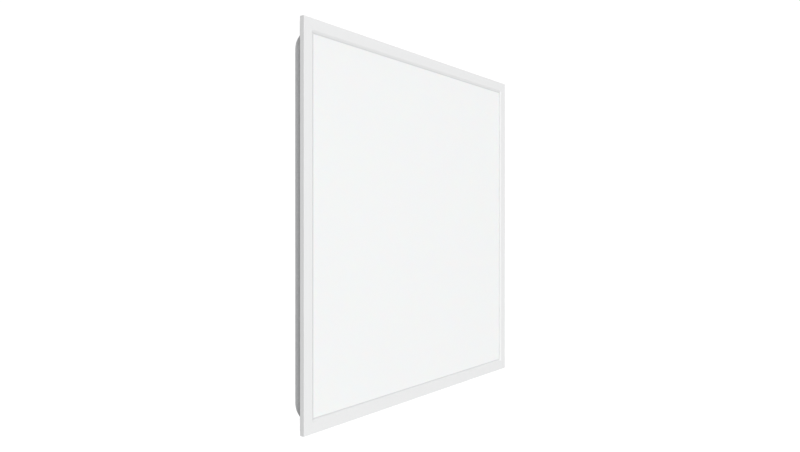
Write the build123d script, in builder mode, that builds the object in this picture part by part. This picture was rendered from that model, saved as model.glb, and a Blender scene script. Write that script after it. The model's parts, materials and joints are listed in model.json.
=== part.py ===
"""Square lay-in LED panel light, 595 mm, standing upright with its diffuser facing -Y.

Frame: +X is to the right as seen from the front, +Z is up and +Y points out of the back.
The origin is the centre of the flat back of the pan, between its four hanging nuts.
All dimensions are in millimetres.
"""
import math
import os

from build123d import *

os.makedirs("parts", exist_ok=True)

# ---------------------------------------------------------------- driving dimensions
panel_side = 595.0
panel_depth = 30.0
half_side = panel_side / 2
front_y = -panel_depth

# Frame extrusion
frame_depth = 8.0
chamber_width = 10.0
frame_wall = 1.6
chamber_inner_wall = 1.4
face_width = 16.8
bevel_run = 3.0
bevel_depth = 1.8
flange_thickness = 2.2
lip_front = 4.0
lip_thickness = 1.2
lip_reach = 3.5
frame_edge_radius = 0.4
frame_back_y = front_y + frame_depth

# Diffuser, its seal and the foam gasket
diffuser_thickness = 1.5
diffuser_inset = 11.0
diffuser_corner_radius = 2.0
seal_thickness = 0.3
seal_show = 1.8
gasket_thickness = 0.8
gasket_outer_inset = 2.0
gasket_inner_inset = 9.0

# Pan
sheet = 0.7
pan_flange_inset = 1.5
pan_wall_inset = 7.4
pan_corner_radius = 35.0
pan_flange_radius = 6.0
pan_draft = 8.0
pan_back_radius = 5.0
flange_overlap = 0.5
flange_front_y = frame_back_y + gasket_thickness
flange_back_y = flange_front_y + sheet
pan_inner_y = -sheet
bead_depth = 0.8
bead_width = 10.0
bead_length = 400.0
bead_heights = [-180.0, -90.0, 90.0, 180.0]

# Screws that close the pan, and the screws of the corner keys
pan_screw_inset = 4.4
pan_screw_spots = [-200.0, 0.0, 200.0]
pan_screw_radius = 1.5
pan_screw_hole_radius = 1.7
pan_screw_head_radius = 2.5
pan_screw_head_height = 1.9
pan_screw_length = 6.5
pan_screw_crown = 0.6
pan_screw_bevel = 0.5
pan_recess_depth = 0.5
screw_recess_radius = 1.0
key_arm = 45.0
key_clearance = 0.1
key_screw_inset = 5.1
key_screw_spot = half_side - 30.0
key_screw_radius = 1.5
key_screw_head_radius = 2.8
key_screw_length = 5.5

# LED strips, seen from the front
strip_heights = [-225.0, -135.0, -45.0, 45.0, 135.0, 225.0]
strip_left = -250.0
strip_right = 243.0
strip_width = 20.0
board_thickness = 1.0
led_spots = [-220.0, -132.0, -44.0, 44.0, 132.0, 220.0]
led_size = 3.0
led_height = 0.65
led_window_radius = 1.2
led_window_depth = 0.1
lens_radius = 8.0
lens_height = 6.2
lens_rim = 1.4
lens_cavity_radius = 3.0
rivet_spots = [-176.0, 0.0, 176.0]
rivet_radius = 1.6
rivet_head_radius = 3.1
rivet_head_height = 1.0
rivet_head_rim = 0.4
rivet_tail_radius = 2.4
rivet_tail_height = 2.2
rivet_tail_bevel = 0.5
board_front_y = pan_inner_y - board_thickness

# Reflector sheet and its push pins
reflector_thickness = 0.4
reflector_left = -262.0
reflector_right = 235.5
reflector_half_height = 262.0
reflector_corner = 30.0
reflector_lens_hole_radius = 9.0
reflector_rivet_hole_radius = 4.0
reflector_front_y = board_front_y - reflector_thickness
pin_spots = [-216.0, 216.0]
pin_radius = 1.95
pin_head_radius = 4.5
pin_head_height = 1.2
pin_tail_height = 3.0
pin_tip_radius = 1.0
pin_barb = 0.7
pin_barb_height = 2.0

# Bus board and bridging connectors
bus_x = 255.0
bus_width = 16.0
bus_length = 480.0
connector_x = 245.0
connector_length = 15.0
connector_width = 10.0
connector_height = 4.5
connector_bevel = 0.6
socket_pitch_x = 7.5
socket_pitch_z = 4.0
socket_length = 3.0
socket_width = 1.6
socket_depth = 2.5
header_pitch = 5.08
header_pin_radius = 0.45
header_length = 10.0
header_width = 5.0
header_pin_tail = 1.4

# Hanging nuts, safety lug, earth stud
nut_pitch = 516.0
nut_shank_radius = 3.0
nut_body_radius = 3.7
nut_bore_radius = 1.65
nut_length = 4.5
lug_x = -120.0
lug_z = 25.0
lug_thickness = 1.5
lug_width = 16.0
lug_foot = 24.0
lug_height = 20.0
lug_corner_radius = 5.0
lug_hole_radius = 3.2
lug_hole_y = 12.0
earth_x = 96.0
earth_z = -40.0
earth_radius = 2.0
earth_length = 12.0
earth_tip_bevel = 0.4
earth_collar_radius = 3.0
earth_collar_height = 0.6
washer_radius = 4.5
washer_thickness = 0.8
earth_nut_half_width = 3.5
earth_nut_height = 3.2

# Swing-out grid clips
clip_x = 200.0
clip_z = 272.0
clip_thickness = 1.2
clip_width = 12.0
clip_reach = 34.0
clip_lip = 5.0
clip_gap = 0.3
clip_hole_radius = 2.575
clip_slot_spot = 22.1
clip_slot_length = 9.0
clip_slot_width = 3.4
clip_rivet_radius = 2.5
clip_rivet_head_radius = 4.0
clip_rivet_head_height = 1.2
clip_rivet_pan_radius = 2.0
clip_rivet_tail_radius = 3.5
clip_rivet_tail_height = 1.0
clip_rivet_bevel = 0.6

# Driver housing
driver_left = 112.0
driver_right = 264.0
driver_half_width = 22.0
driver_height = 26.0
driver_wall = 1.5
base_floor = 2.0
ear_length = 8.0
ear_corner_radius = 3.0
ear_screw_z = 16.0
ear_screw_head_radius = 2.7
ear_screw_head_height = 2.0
ear_screw_crown = 0.8
ear_screw_recess_depth = 0.7
ear_screw_length = 8.0
compartment_right = 153.3
compartment_top = 24.2
compartment_end_wall = 2.0
cover_left = 154.2
cover_board_gap_y = 8.3
hinge_x = 151.0
hinge_y = 25.0
hinge_radius = 2.5
hinge_pin_radius = 1.0
hinge_bore_radius = 1.05
outer_knuckle_start = 13.0
outer_knuckle_end = 19.0
inner_knuckle_end = 12.6
lid_right = 148.3
lid_thickness = 1.5
lid_web_length = 4.0
post_spots = [(160.0, -15.5), (160.0, 15.5), (250.0, -15.5), (250.0, 15.5)]
post_radius = 3.0
pad_radius = 4.5
post_hole_radius = 1.25
post_hole_depth = 10.0
near_pad_z = 14.0
cover_edge_radius = 2.0
vent_count = 6
vent_pitch = 12.0
vent_length = 22.0
vent_width = 2.4
cover_screw_radius = 1.5
cover_screw_head_radius = 2.8
cover_screw_head_height = 1.3
cover_screw_recess_radius = 0.9
cover_screw_recess_depth = 0.6
cover_screw_length = 9.0
hinge_arm_thickness = 2.6
hinge_arm_overlap = 0.4
hinge_arm_drop = 0.4
tab_length = 1.6
tab_width = 14.0
spigot_radius = 6.9
spigot_bore_radius = 6.0

# Driver board and its components
board_bottom_y = 6.0
board_top_y = 7.6
board_left = 126.0
board_right = 260.5
board_half_width = 18.5
board_hole_radius = 3.2
terminal_left = 126.0
terminal_length = 20.0
terminal_half_width = 15.5
terminal_top_y = 20.0
terminal_bevel = 0.8
pole_pitch = 10.0
wire_entry_radius = 2.1
wire_entry_depth = 9.0
entry_y = 12.5
button_x = 140.0
button_length = 6.4
button_width = 4.4
button_clearance = 0.3
button_top_y = 21.5
button_bottom_y = 13.5
button_pocket_y = 11.0
button_edge_radius = 0.5
button_slot_length = 3.4
button_slot_width = 0.9
button_slot_depth = 0.8

# Cable gland on the driver's end wall
gland_y = 12.5
gland_thread_radius = 7.9
gland_hex_radius = 9.5
gland_bore_radius = 5.25
seal_radius = 6.25
seal_bore_radius = 4.0
flange_length = 5.0
nose_length = 7.0
nose_radius = 7.5
stub_length = 6.5
seal_length = 7.5
nut_front_wall = 1.5
nut_front_radius = 2.5
nut_mouth_radius = 5.0
nut_hex_length = 7.5
nut_gap = 0.5
locknut_half_width = 9.8
locknut_thickness = 3.5


# ---------------------------------------------------------------- helpers
def facing(y):
    """Plane across the panel at the given Y; local x is +X, local y is +Z, and it faces the front."""
    return Plane.XZ.offset(-y)


def behind(y):
    """Plane across the panel at the given Y that faces the back; local x is +X, local y is -Z."""
    return Plane(origin=(0, y, 0), x_dir=(1, 0, 0), z_dir=(0, 1, 0))


def across(x):
    """Plane across the driver at the given X, facing the gland; local x is +Z and local y is +Y."""
    return Plane(origin=(x, 0, 0), x_dir=(0, 0, 1), z_dir=(-1, 0, 0))


def through_axis(x, y, z):
    """Plane that holds an axis along Y; local x is the radius and local y points to the front."""
    return Plane(origin=(x, y, z), x_dir=(1, 0, 0), z_dir=(0, 0, -1))


def square_ring(outer_inset, inner_inset):
    """Sketch a square ring whose edges lie at two insets from the panel's outer sides."""
    Rectangle(panel_side - 2 * outer_inset, panel_side - 2 * outer_inset)
    inner = panel_side - 2 * inner_inset
    Rectangle(inner, inner, mode=Mode.SUBTRACT)


def around_frame(spots, inset):
    """Points (x, z) at the given spots along all four sides of the frame."""
    reach = half_side - inset
    points = []
    for spot in spots:
        points += [(spot, reach), (spot, -reach), (reach, spot), (-reach, spot)]
    return points


pan_screw_points = around_frame(pan_screw_spots, pan_screw_inset)
key_screw_points = around_frame([-key_screw_spot, key_screw_spot], key_screw_inset)
strip_rivet_points = [(x, z) for z in strip_heights for x in rivet_spots]
led_points = [(x, z) for z in strip_heights for x in led_spots]
pin_points = [(x, z) for z in bead_heights for x in pin_spots]
driver_screw_points = [
    (driver_left - ear_length / 2, -ear_screw_z),
    (driver_left - ear_length / 2, ear_screw_z),
    (driver_right + ear_length / 2, -ear_screw_z),
    (driver_right + ear_length / 2, ear_screw_z),
]
clip_points = [(x, z) for z in (-clip_z, clip_z) for x in (-clip_x, clip_x)]


# ---------------------------------------------------------------- frame
frame_sides = [("frame_bottom", 0), ("frame_left", 90), ("frame_top", 180), ("frame_right", 270)]

for frame_label, turn in frame_sides:
    angle = math.radians(turn)
    along = Vector(math.cos(angle), 0, -math.sin(angle))
    inward = Vector(math.sin(angle), 0, math.cos(angle))
    edge = -half_side
    with BuildPart() as frame_side:
        with BuildSketch(Plane(origin=(0, 0, 0), x_dir=(0, 1, 0), z_dir=along)) as section:
            with BuildLine():
                Polyline(
                    (front_y, edge),
                    (front_y, edge + face_width),
                    (front_y + bevel_depth, edge + face_width + bevel_run),
                    (front_y + flange_thickness, edge + face_width + bevel_run),
                    (front_y + flange_thickness, edge + chamber_width),
                    (front_y + lip_front, edge + chamber_width),
                    (front_y + lip_front, edge + chamber_width + lip_reach),
                    (front_y + lip_front + lip_thickness, edge + chamber_width + lip_reach),
                    (front_y + lip_front + lip_thickness, edge + chamber_width),
                    (frame_back_y, edge + chamber_width),
                    (frame_back_y, edge),
                    close=True,
                )
            make_face()
            fillet(section.vertices().group_by(Axis.Y)[0], radius=frame_edge_radius)
            hollow_width = chamber_width - frame_wall - chamber_inner_wall
            with Locations((front_y + frame_depth / 2, edge + frame_wall + hollow_width / 2)):
                Rectangle(frame_depth - 2 * frame_wall, hollow_width, mode=Mode.SUBTRACT)
        extrude(amount=half_side, both=True)
        split(bisect_by=Plane(origin=(0, 0, 0), z_dir=along - inward), keep=Keep.TOP)
        split(bisect_by=Plane(origin=(0, 0, 0), z_dir=-along - inward), keep=Keep.TOP)
        for spot in (-key_screw_spot, key_screw_spot):
            spot_on_back = along * spot - inward * (half_side - key_screw_inset)
            hole_plane = Plane(origin=spot_on_back + Vector(0, frame_back_y, 0), z_dir=(0, 1, 0))
            with Locations(hole_plane):
                CounterSinkHole(key_screw_radius, key_screw_head_radius, depth=frame_wall + 1)
        for spot in pan_screw_spots:
            spot_on_back = along * spot - inward * (half_side - pan_screw_inset)
            hole_plane = Plane(origin=spot_on_back + Vector(0, frame_back_y, 0), z_dir=(0, 1, 0))
            with Locations(hole_plane):
                Hole(pan_screw_radius, depth=frame_wall + 1)
    frame_side.part.label = frame_label
    export_step(frame_side.part, f"parts/{frame_label}.step")

# Corner keys: the corners of a square ring that fills the chambers
key_thickness = frame_depth - 2 * frame_wall - 2 * key_clearance
key_back_y = frame_back_y - frame_wall - key_clearance
with BuildPart() as corner_keys:
    with BuildSketch(facing(key_back_y)):
        square_ring(frame_wall + key_clearance, chamber_width - chamber_inner_wall - key_clearance)
        Rectangle(panel_side, panel_side - 2 * key_arm, mode=Mode.SUBTRACT)
        Rectangle(panel_side - 2 * key_arm, panel_side, mode=Mode.SUBTRACT)
        with Locations(*key_screw_points):
            Circle(key_screw_radius, mode=Mode.SUBTRACT)
    extrude(amount=key_thickness)
corner_keys.part.label = "corner_keys"
export_step(corner_keys.part, "parts/corner_keys.step")

with BuildPart() as corner_key_screws:
    for x, z in key_screw_points:
        with BuildSketch(through_axis(x, frame_back_y, z)):
            with BuildLine():
                Polyline(
                    (0, 0),
                    (key_screw_head_radius, 0),
                    (key_screw_radius, key_screw_head_radius - key_screw_radius),
                    (key_screw_radius, key_screw_length),
                    (0, key_screw_length),
                    close=True,
                )
            make_face()
        revolve(axis=Axis((x, frame_back_y, z), (0, 1, 0)))
corner_key_screws.part.label = "corner_key_screws"
export_step(corner_key_screws.part, "parts/corner_key_screws.step")

# ---------------------------------------------------------------- diffuser, seal and gasket
seal_inner_inset = face_width + bevel_run + seal_show
with BuildPart() as diffuser_seal:
    with BuildSketch(facing(front_y + flange_thickness)):
        square_ring(diffuser_inset, seal_inner_inset)
    extrude(amount=-seal_thickness)
diffuser_seal.part.label = "diffuser_seal"
export_step(diffuser_seal.part, "parts/diffuser_seal.step")

diffuser_side = panel_side - 2 * diffuser_inset
with BuildPart() as diffuser:
    with BuildSketch(facing(front_y + flange_thickness + seal_thickness)):
        RectangleRounded(diffuser_side, diffuser_side, radius=diffuser_corner_radius)
    extrude(amount=-diffuser_thickness)
diffuser.part.label = "diffuser"
export_step(diffuser.part, "parts/diffuser.step")

with BuildPart() as pan_gasket:
    with BuildSketch(facing(frame_back_y)):
        square_ring(gasket_outer_inset, gasket_inner_inset)
        with Locations(*pan_screw_points):
            Circle(pan_screw_hole_radius, mode=Mode.SUBTRACT)
    extrude(amount=-gasket_thickness)
pan_gasket.part.label = "pan_gasket"
export_step(pan_gasket.part, "parts/pan_gasket.step")

# ---------------------------------------------------------------- pan
pan_side = panel_side - 2 * pan_wall_inset
pan_height = -flange_front_y
with BuildPart() as pan_hollow:
    with BuildSketch(behind(flange_front_y)):
        hollow_side = pan_side - 2 * sheet
        RectangleRounded(hollow_side, hollow_side, radius=pan_corner_radius - sheet)
    extrude(amount=pan_height - sheet, taper=pan_draft)
    fillet(pan_hollow.faces().sort_by(Axis.Y)[-1].edges(), radius=pan_back_radius - sheet)

with BuildPart() as back_pan:
    with BuildSketch(behind(flange_front_y)):
        RectangleRounded(pan_side, pan_side, radius=pan_corner_radius)
    extrude(amount=pan_height, taper=pan_draft)
    fillet(back_pan.faces().sort_by(Axis.Y)[-1].edges(), radius=pan_back_radius)
    add(pan_hollow.part, mode=Mode.SUBTRACT)
    with BuildSketch(facing(flange_front_y)):
        flange_side = panel_side - 2 * pan_flange_inset
        RectangleRounded(flange_side, flange_side, radius=pan_flange_radius)
        opening_side = pan_side - 2 * flange_overlap
        RectangleRounded(opening_side, opening_side, radius=pan_corner_radius, mode=Mode.SUBTRACT)
        with Locations(*pan_screw_points):
            Circle(pan_screw_hole_radius, mode=Mode.SUBTRACT)
    extrude(amount=-sheet)
    # Stiffening beads pressed into the back
    with BuildSketch(facing(pan_inner_y)):
        with Locations(*[(0, z) for z in bead_heights]):
            SlotOverall(bead_length + 2 * sheet, bead_width + 2 * sheet)
    extrude(amount=bead_depth)
    with BuildSketch(facing(0)):
        with Locations(*[(0, z) for z in bead_heights]):
            SlotOverall(bead_length, bead_width)
    extrude(amount=bead_depth, mode=Mode.SUBTRACT)
    # Holes through the back
    with BuildSketch(facing(0)):
        with GridLocations(nut_pitch, nut_pitch, 2, 2):
            Circle(nut_shank_radius)
        with Locations(*strip_rivet_points):
            Circle(rivet_radius)
        with Locations(*pin_points):
            Circle(pin_radius)
        with Locations(*driver_screw_points):
            Circle(pan_screw_radius)
        with Locations(*clip_points):
            Circle(clip_rivet_pan_radius)
        with Locations((bus_x, 0)):
            Circle(spigot_radius)
    extrude(amount=sheet, mode=Mode.SUBTRACT)
back_pan.part.label = "back_pan"
export_step(back_pan.part, "parts/back_pan.step")

with BuildPart() as pan_screws:
    for x, z in pan_screw_points:
        with BuildSketch(through_axis(x, flange_back_y + pan_screw_head_height, z)):
            with BuildLine():
                Polyline(
                    (0, pan_recess_depth),
                    (screw_recess_radius, pan_recess_depth),
                    (screw_recess_radius, 0),
                    (pan_screw_head_radius - pan_screw_bevel, 0),
                    (pan_screw_head_radius, pan_screw_crown),
                    (pan_screw_head_radius, pan_screw_head_height),
                    (pan_screw_radius, pan_screw_head_height),
                    (pan_screw_radius, pan_screw_length),
                    (0, pan_screw_length),
                    close=True,
                )
            make_face()
        revolve(axis=Axis((x, 0, z), (0, 1, 0)))
pan_screws.part.label = "pan_screws"
export_step(pan_screws.part, "parts/pan_screws.step")

# ---------------------------------------------------------------- LED strips
for number, z in enumerate(strip_heights, start=1):
    strip_label = f"led_board_{number}"
    with BuildPart() as led_board:
        with BuildSketch(facing(pan_inner_y)):
            with Locations(((strip_left + strip_right) / 2, z)):
                Rectangle(strip_right - strip_left, strip_width)
            with Locations(*[(x, z) for x in rivet_spots]):
                Circle(rivet_radius, mode=Mode.SUBTRACT)
        extrude(amount=board_thickness)
    led_board.part.label = strip_label
    export_step(led_board.part, f"parts/{strip_label}.step")

with BuildPart() as led_chips:
    with BuildSketch(facing(board_front_y)):
        with Locations(*led_points):
            Rectangle(led_size, led_size)
    extrude(amount=led_height)
    with BuildSketch(facing(board_front_y - led_height)):
        with Locations(*led_points):
            Circle(led_window_radius)
    extrude(amount=-led_window_depth, mode=Mode.SUBTRACT)
led_chips.part.label = "led_chips"
export_step(led_chips.part, "parts/led_chips.step")

cap_height = lens_height - lens_rim
cap_radius = (lens_radius**2 + cap_height**2) / (2 * cap_height)
cap_angle = math.degrees(math.asin(lens_radius / cap_radius))
with BuildPart() as lenses:
    for x, z in led_points:
        with BuildSketch(through_axis(x, board_front_y, z)):
            with BuildLine():
                Line((0, lens_cavity_radius), (0, lens_height))
                CenterArc((0, lens_height - cap_radius), cap_radius, 90 - cap_angle, cap_angle)
                Line((lens_radius, lens_rim), (lens_radius, 0))
                Line((lens_radius, 0), (lens_cavity_radius, 0))
                CenterArc((0, 0), lens_cavity_radius, 0, 90)
            make_face()
        revolve(axis=Axis((x, 0, z), (0, 1, 0)))
lenses.part.label = "lenses"
export_step(lenses.part, "parts/lenses.step")

with BuildPart() as strip_rivets:
    for x, z in strip_rivet_points:
        with BuildSketch(through_axis(x, rivet_tail_height, z)):
            head_start = rivet_tail_height - board_front_y
            with BuildLine():
                Polyline(
                    (0, 0),
                    (0.6 * rivet_tail_radius, 0),
                    (rivet_tail_radius, rivet_tail_bevel),
                    (rivet_tail_radius, rivet_tail_height),
                    (rivet_radius, rivet_tail_height),
                    (rivet_radius, head_start),
                    (rivet_head_radius, head_start),
                    (rivet_head_radius, head_start + rivet_head_rim),
                    (0.5 * rivet_head_radius, head_start + rivet_head_height),
                    (0, head_start + rivet_head_height),
                    close=True,
                )
            make_face()
        revolve(axis=Axis((x, 0, z), (0, 1, 0)))
strip_rivets.part.label = "strip_rivets"
export_step(strip_rivets.part, "parts/strip_rivets.step")

# ---------------------------------------------------------------- reflector
with BuildPart() as reflector_sheet:
    with BuildSketch(facing(board_front_y)) as reflector_outline:
        with Locations(((reflector_left + reflector_right) / 2, 0)):
            Rectangle(reflector_right - reflector_left, 2 * reflector_half_height)
        left_corners = reflector_outline.vertices().group_by(Axis.X)[0]
        chamfer(left_corners, length=reflector_corner)
        with Locations(*led_points):
            Circle(reflector_lens_hole_radius, mode=Mode.SUBTRACT)
        with Locations(*strip_rivet_points):
            Circle(reflector_rivet_hole_radius, mode=Mode.SUBTRACT)
        with Locations(*driver_screw_points[:2]):
            Circle(reflector_rivet_hole_radius, mode=Mode.SUBTRACT)
        with Locations(*pin_points):
            Circle(pin_radius, mode=Mode.SUBTRACT)
    extrude(amount=reflector_thickness)
reflector_sheet.part.label = "reflector_sheet"
export_step(reflector_sheet.part, "parts/reflector_sheet.step")

with BuildPart() as reflector_pins:
    for x, z in pin_points:
        head_start = pin_tail_height - reflector_front_y
        with BuildSketch(through_axis(x, pin_tail_height, z)):
            with BuildLine():
                Polyline(
                    (0, 0),
                    (pin_tip_radius, 0),
                    (pin_radius + pin_barb, pin_barb_height),
                    (pin_radius, pin_tail_height),
                    (pin_radius, head_start),
                    (pin_head_radius, head_start),
                    (0.8 * pin_head_radius, head_start + pin_head_height),
                    (0, head_start + pin_head_height),
                    close=True,
                )
            make_face()
        revolve(axis=Axis((x, 0, z), (0, 1, 0)))
reflector_pins.part.label = "reflector_pins"
export_step(reflector_pins.part, "parts/reflector_pins.step")

# ---------------------------------------------------------------- bus board and connectors
header_pin_points = [(bus_x, -header_pitch / 2), (bus_x, header_pitch / 2)]
with BuildPart() as bus_board:
    with BuildSketch(facing(pan_inner_y)):
        with Locations((bus_x, 0)):
            Rectangle(bus_width, bus_length)
        with Locations(*header_pin_points):
            Circle(header_pin_radius, mode=Mode.SUBTRACT)
    extrude(amount=board_thickness)
bus_board.part.label = "bus_board"
export_step(bus_board.part, "parts/bus_board.step")

with BuildPart() as strip_connectors:
    with BuildSketch(facing(board_front_y)):
        with Locations(*[(connector_x, z) for z in strip_heights]):
            Rectangle(connector_length, connector_width)
    extrude(amount=connector_height)
    chamfer(strip_connectors.edges().group_by(Axis.Y)[0], length=connector_bevel)
    with BuildSketch(facing(board_front_y - connector_height)):
        with Locations(*[(connector_x, z) for z in strip_heights]):
            with GridLocations(socket_pitch_x, socket_pitch_z, 2, 2):
                Rectangle(socket_length, socket_width)
    extrude(amount=-socket_depth, mode=Mode.SUBTRACT)
strip_connectors.part.label = "strip_connectors"
export_step(strip_connectors.part, "parts/strip_connectors.step")

# ---------------------------------------------------------------- hardware on the back
with BuildPart() as hanging_nuts:
    with BuildSketch(facing(0)):
        with GridLocations(nut_pitch, nut_pitch, 2, 2):
            Circle(nut_shank_radius)
    extrude(amount=nut_length)
    with BuildSketch(facing(pan_inner_y)):
        with GridLocations(nut_pitch, nut_pitch, 2, 2):
            Circle(nut_body_radius)
    extrude(amount=nut_length - sheet)
    with BuildSketch(facing(0)):
        with GridLocations(nut_pitch, nut_pitch, 2, 2):
            Circle(nut_bore_radius)
    extrude(amount=nut_length, mode=Mode.SUBTRACT)
hanging_nuts.part.label = "hanging_nuts"
export_step(hanging_nuts.part, "parts/hanging_nuts.step")

with BuildPart() as safety_lug:
    with BuildSketch(Plane.XY.offset(lug_z)):
        with BuildLine():
            Polyline(
                (lug_x, 0),
                (lug_x + lug_foot, 0),
                (lug_x + lug_foot, lug_thickness),
                (lug_x + lug_thickness, lug_thickness),
                (lug_x + lug_thickness, lug_height),
                (lug_x, lug_height),
                close=True,
            )
        make_face()
    extrude(amount=lug_width / 2, both=True)
    fillet(safety_lug.edges().filter_by(Axis.X).group_by(Axis.Y)[-1], radius=lug_corner_radius)
    with BuildSketch(across(lug_x)):
        with Locations((lug_z, lug_hole_y)):
            Circle(lug_hole_radius)
    extrude(amount=-lug_thickness, mode=Mode.SUBTRACT)
safety_lug.part.label = "safety_lug"
export_step(safety_lug.part, "parts/safety_lug.step")

with BuildPart() as earth_stud:
    with BuildSketch(behind(0)):
        with Locations((earth_x, -earth_z)):
            Circle(earth_collar_radius)
    extrude(amount=earth_collar_height)
    with BuildSketch(behind(0)):
        with Locations((earth_x, -earth_z)):
            Circle(earth_radius)
    extrude(amount=earth_length)
    chamfer(earth_stud.edges().group_by(Axis.Y)[-1], length=earth_tip_bevel)
earth_stud.part.label = "earth_stud"
export_step(earth_stud.part, "parts/earth_stud.step")

with BuildPart() as earth_nut:
    with BuildSketch(behind(earth_collar_height)):
        with Locations((earth_x, -earth_z)):
            Circle(washer_radius)
    extrude(amount=washer_thickness)
    with BuildSketch(behind(earth_collar_height + washer_thickness)):
        with Locations((earth_x, -earth_z)):
            RegularPolygon(earth_nut_half_width, 6, major_radius=False)
    extrude(amount=earth_nut_height)
    with BuildSketch(behind(earth_collar_height)):
        with Locations((earth_x, -earth_z)):
            Circle(earth_radius)
    extrude(amount=washer_thickness + earth_nut_height, mode=Mode.SUBTRACT)
earth_nut.part.label = "earth_nut"
export_step(earth_nut.part, "parts/earth_nut.step")

# Grid clips fold inward along the top and bottom edges of the pan
clip_sides = [
    ("grid_clip_bottom_left", -clip_x, -clip_z, 1),
    ("grid_clip_bottom_right", clip_x, -clip_z, -1),
    ("grid_clip_top_left", -clip_x, clip_z, 1),
    ("grid_clip_top_right", clip_x, clip_z, -1),
]
for clip_label, x, z, direction in clip_sides:
    with BuildPart() as grid_clip:
        with BuildSketch(behind(clip_gap)):
            with Locations((x + direction * clip_reach / 2, -z)):
                Rectangle(clip_reach, clip_width)
            with Locations((x, -z)):
                Circle(clip_width / 2)
        extrude(amount=clip_thickness)
        with BuildSketch(behind(clip_gap)):
            with Locations((x + direction * (clip_reach - clip_thickness / 2), -z)):
                Rectangle(clip_thickness, clip_width)
        extrude(amount=clip_thickness + clip_lip)
        with BuildSketch(behind(clip_gap)):
            with Locations((x, -z)):
                Circle(clip_hole_radius)
            with Locations((x + direction * clip_slot_spot, -z)):
                SlotOverall(clip_slot_length, clip_slot_width)
        extrude(amount=clip_thickness, mode=Mode.SUBTRACT)
    grid_clip.part.label = clip_label
    export_step(grid_clip.part, f"parts/{clip_label}.step")

clip_rivet_head_y = clip_gap + clip_thickness + clip_gap
clip_rivet_top_y = clip_rivet_head_y + clip_rivet_head_height
clip_rivet_end = clip_rivet_top_y + sheet + clip_rivet_tail_height
with BuildPart() as clip_rivets:
    for x, z in clip_points:
        with BuildSketch(through_axis(x, clip_rivet_top_y, z)):
            with BuildLine():
                Polyline(
                    (0, 0),
                    (0.6 * clip_rivet_head_radius, 0),
                    (clip_rivet_head_radius, clip_rivet_bevel),
                    (clip_rivet_head_radius, clip_rivet_head_height),
                    (clip_rivet_radius, clip_rivet_head_height),
                    (clip_rivet_radius, clip_rivet_top_y),
                    (clip_rivet_pan_radius, clip_rivet_top_y),
                    (clip_rivet_pan_radius, clip_rivet_top_y + sheet),
                    (clip_rivet_tail_radius, clip_rivet_top_y + sheet),
                    (clip_rivet_tail_radius, clip_rivet_end),
                    (0, clip_rivet_end),
                    close=True,
                )
            make_face()
        revolve(axis=Axis((x, 0, z), (0, 1, 0)))
clip_rivets.part.label = "clip_rivets"
export_step(clip_rivets.part, "parts/clip_rivets.step")

# ---------------------------------------------------------------- driver housing
driver_middle = (driver_left + driver_right) / 2
compartment_length = compartment_right - driver_left
with BuildPart() as driver_base:
    with BuildSketch(behind(0)):
        with Locations((driver_middle, 0)):
            RectangleRounded(
                driver_right - driver_left + 2 * ear_length, 2 * driver_half_width, radius=ear_corner_radius
            )
    extrude(amount=base_floor)
    # Walls of the mains compartment
    with BuildSketch(behind(base_floor)):
        with Locations((driver_left + compartment_length / 2, 0)):
            Rectangle(compartment_length, 2 * driver_half_width)
        with Locations((driver_left + compartment_end_wall + compartment_length / 2, 0)):
            Rectangle(compartment_length, 2 * (driver_half_width - driver_wall), mode=Mode.SUBTRACT)
    extrude(amount=compartment_top - base_floor)
    # Gland hole in the end wall
    with BuildSketch(across(driver_left)):
        with Locations((0, gland_y)):
            Circle(gland_thread_radius)
    extrude(amount=-compartment_end_wall, mode=Mode.SUBTRACT)
    # Pads and posts that carry the board and the cover
    with BuildSketch(behind(base_floor)):
        with Locations(*[(x, -z) for x, z in post_spots]):
            Circle(pad_radius)
        with Locations((board_left + pad_radius, near_pad_z), (board_left + pad_radius, -near_pad_z)):
            Circle(pad_radius)
    extrude(amount=board_bottom_y - base_floor)
    with BuildSketch(behind(board_bottom_y)):
        with Locations(*[(x, -z) for x, z in post_spots]):
            Circle(post_radius)
    extrude(amount=driver_height - driver_wall - board_bottom_y)
    with BuildSketch(behind(driver_height - driver_wall)):
        with Locations(*[(x, -z) for x, z in post_spots]):
            Circle(post_hole_radius)
    extrude(amount=-post_hole_depth, mode=Mode.SUBTRACT)
    # Insulating spigot around the output header
    with BuildSketch(facing(0)):
        with Locations((bus_x, 0)):
            Circle(spigot_radius)
    extrude(amount=sheet)
    with BuildSketch(facing(base_floor)):
        with Locations((bus_x, 0)):
            Circle(spigot_bore_radius)
    extrude(amount=base_floor + sheet, mode=Mode.SUBTRACT)
    with BuildSketch(behind(0)):
        with Locations(*[(x, -z) for x, z in driver_screw_points]):
            Circle(pan_screw_hole_radius)
    extrude(amount=base_floor, mode=Mode.SUBTRACT)
driver_base.part.label = "driver_base"
export_step(driver_base.part, "parts/driver_base.step")

with BuildPart() as driver_screws:
    for x, z in driver_screw_points:
        with BuildSketch(through_axis(x, base_floor + ear_screw_head_height, z)):
            with BuildLine():
                Polyline(
                    (0, ear_screw_recess_depth),
                    (screw_recess_radius, ear_screw_recess_depth),
                    (screw_recess_radius, 0),
                    (ear_screw_head_radius - ear_screw_crown, 0),
                    (ear_screw_head_radius, ear_screw_crown),
                    (ear_screw_head_radius, ear_screw_head_height),
                    (pan_screw_radius, ear_screw_head_height),
                    (pan_screw_radius, ear_screw_length),
                    (0, ear_screw_length),
                    close=True,
                )
            make_face()
        revolve(axis=Axis((x, 0, z), (0, 1, 0)))
driver_screws.part.label = "driver_screws"
export_step(driver_screws.part, "parts/driver_screws.step")

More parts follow.
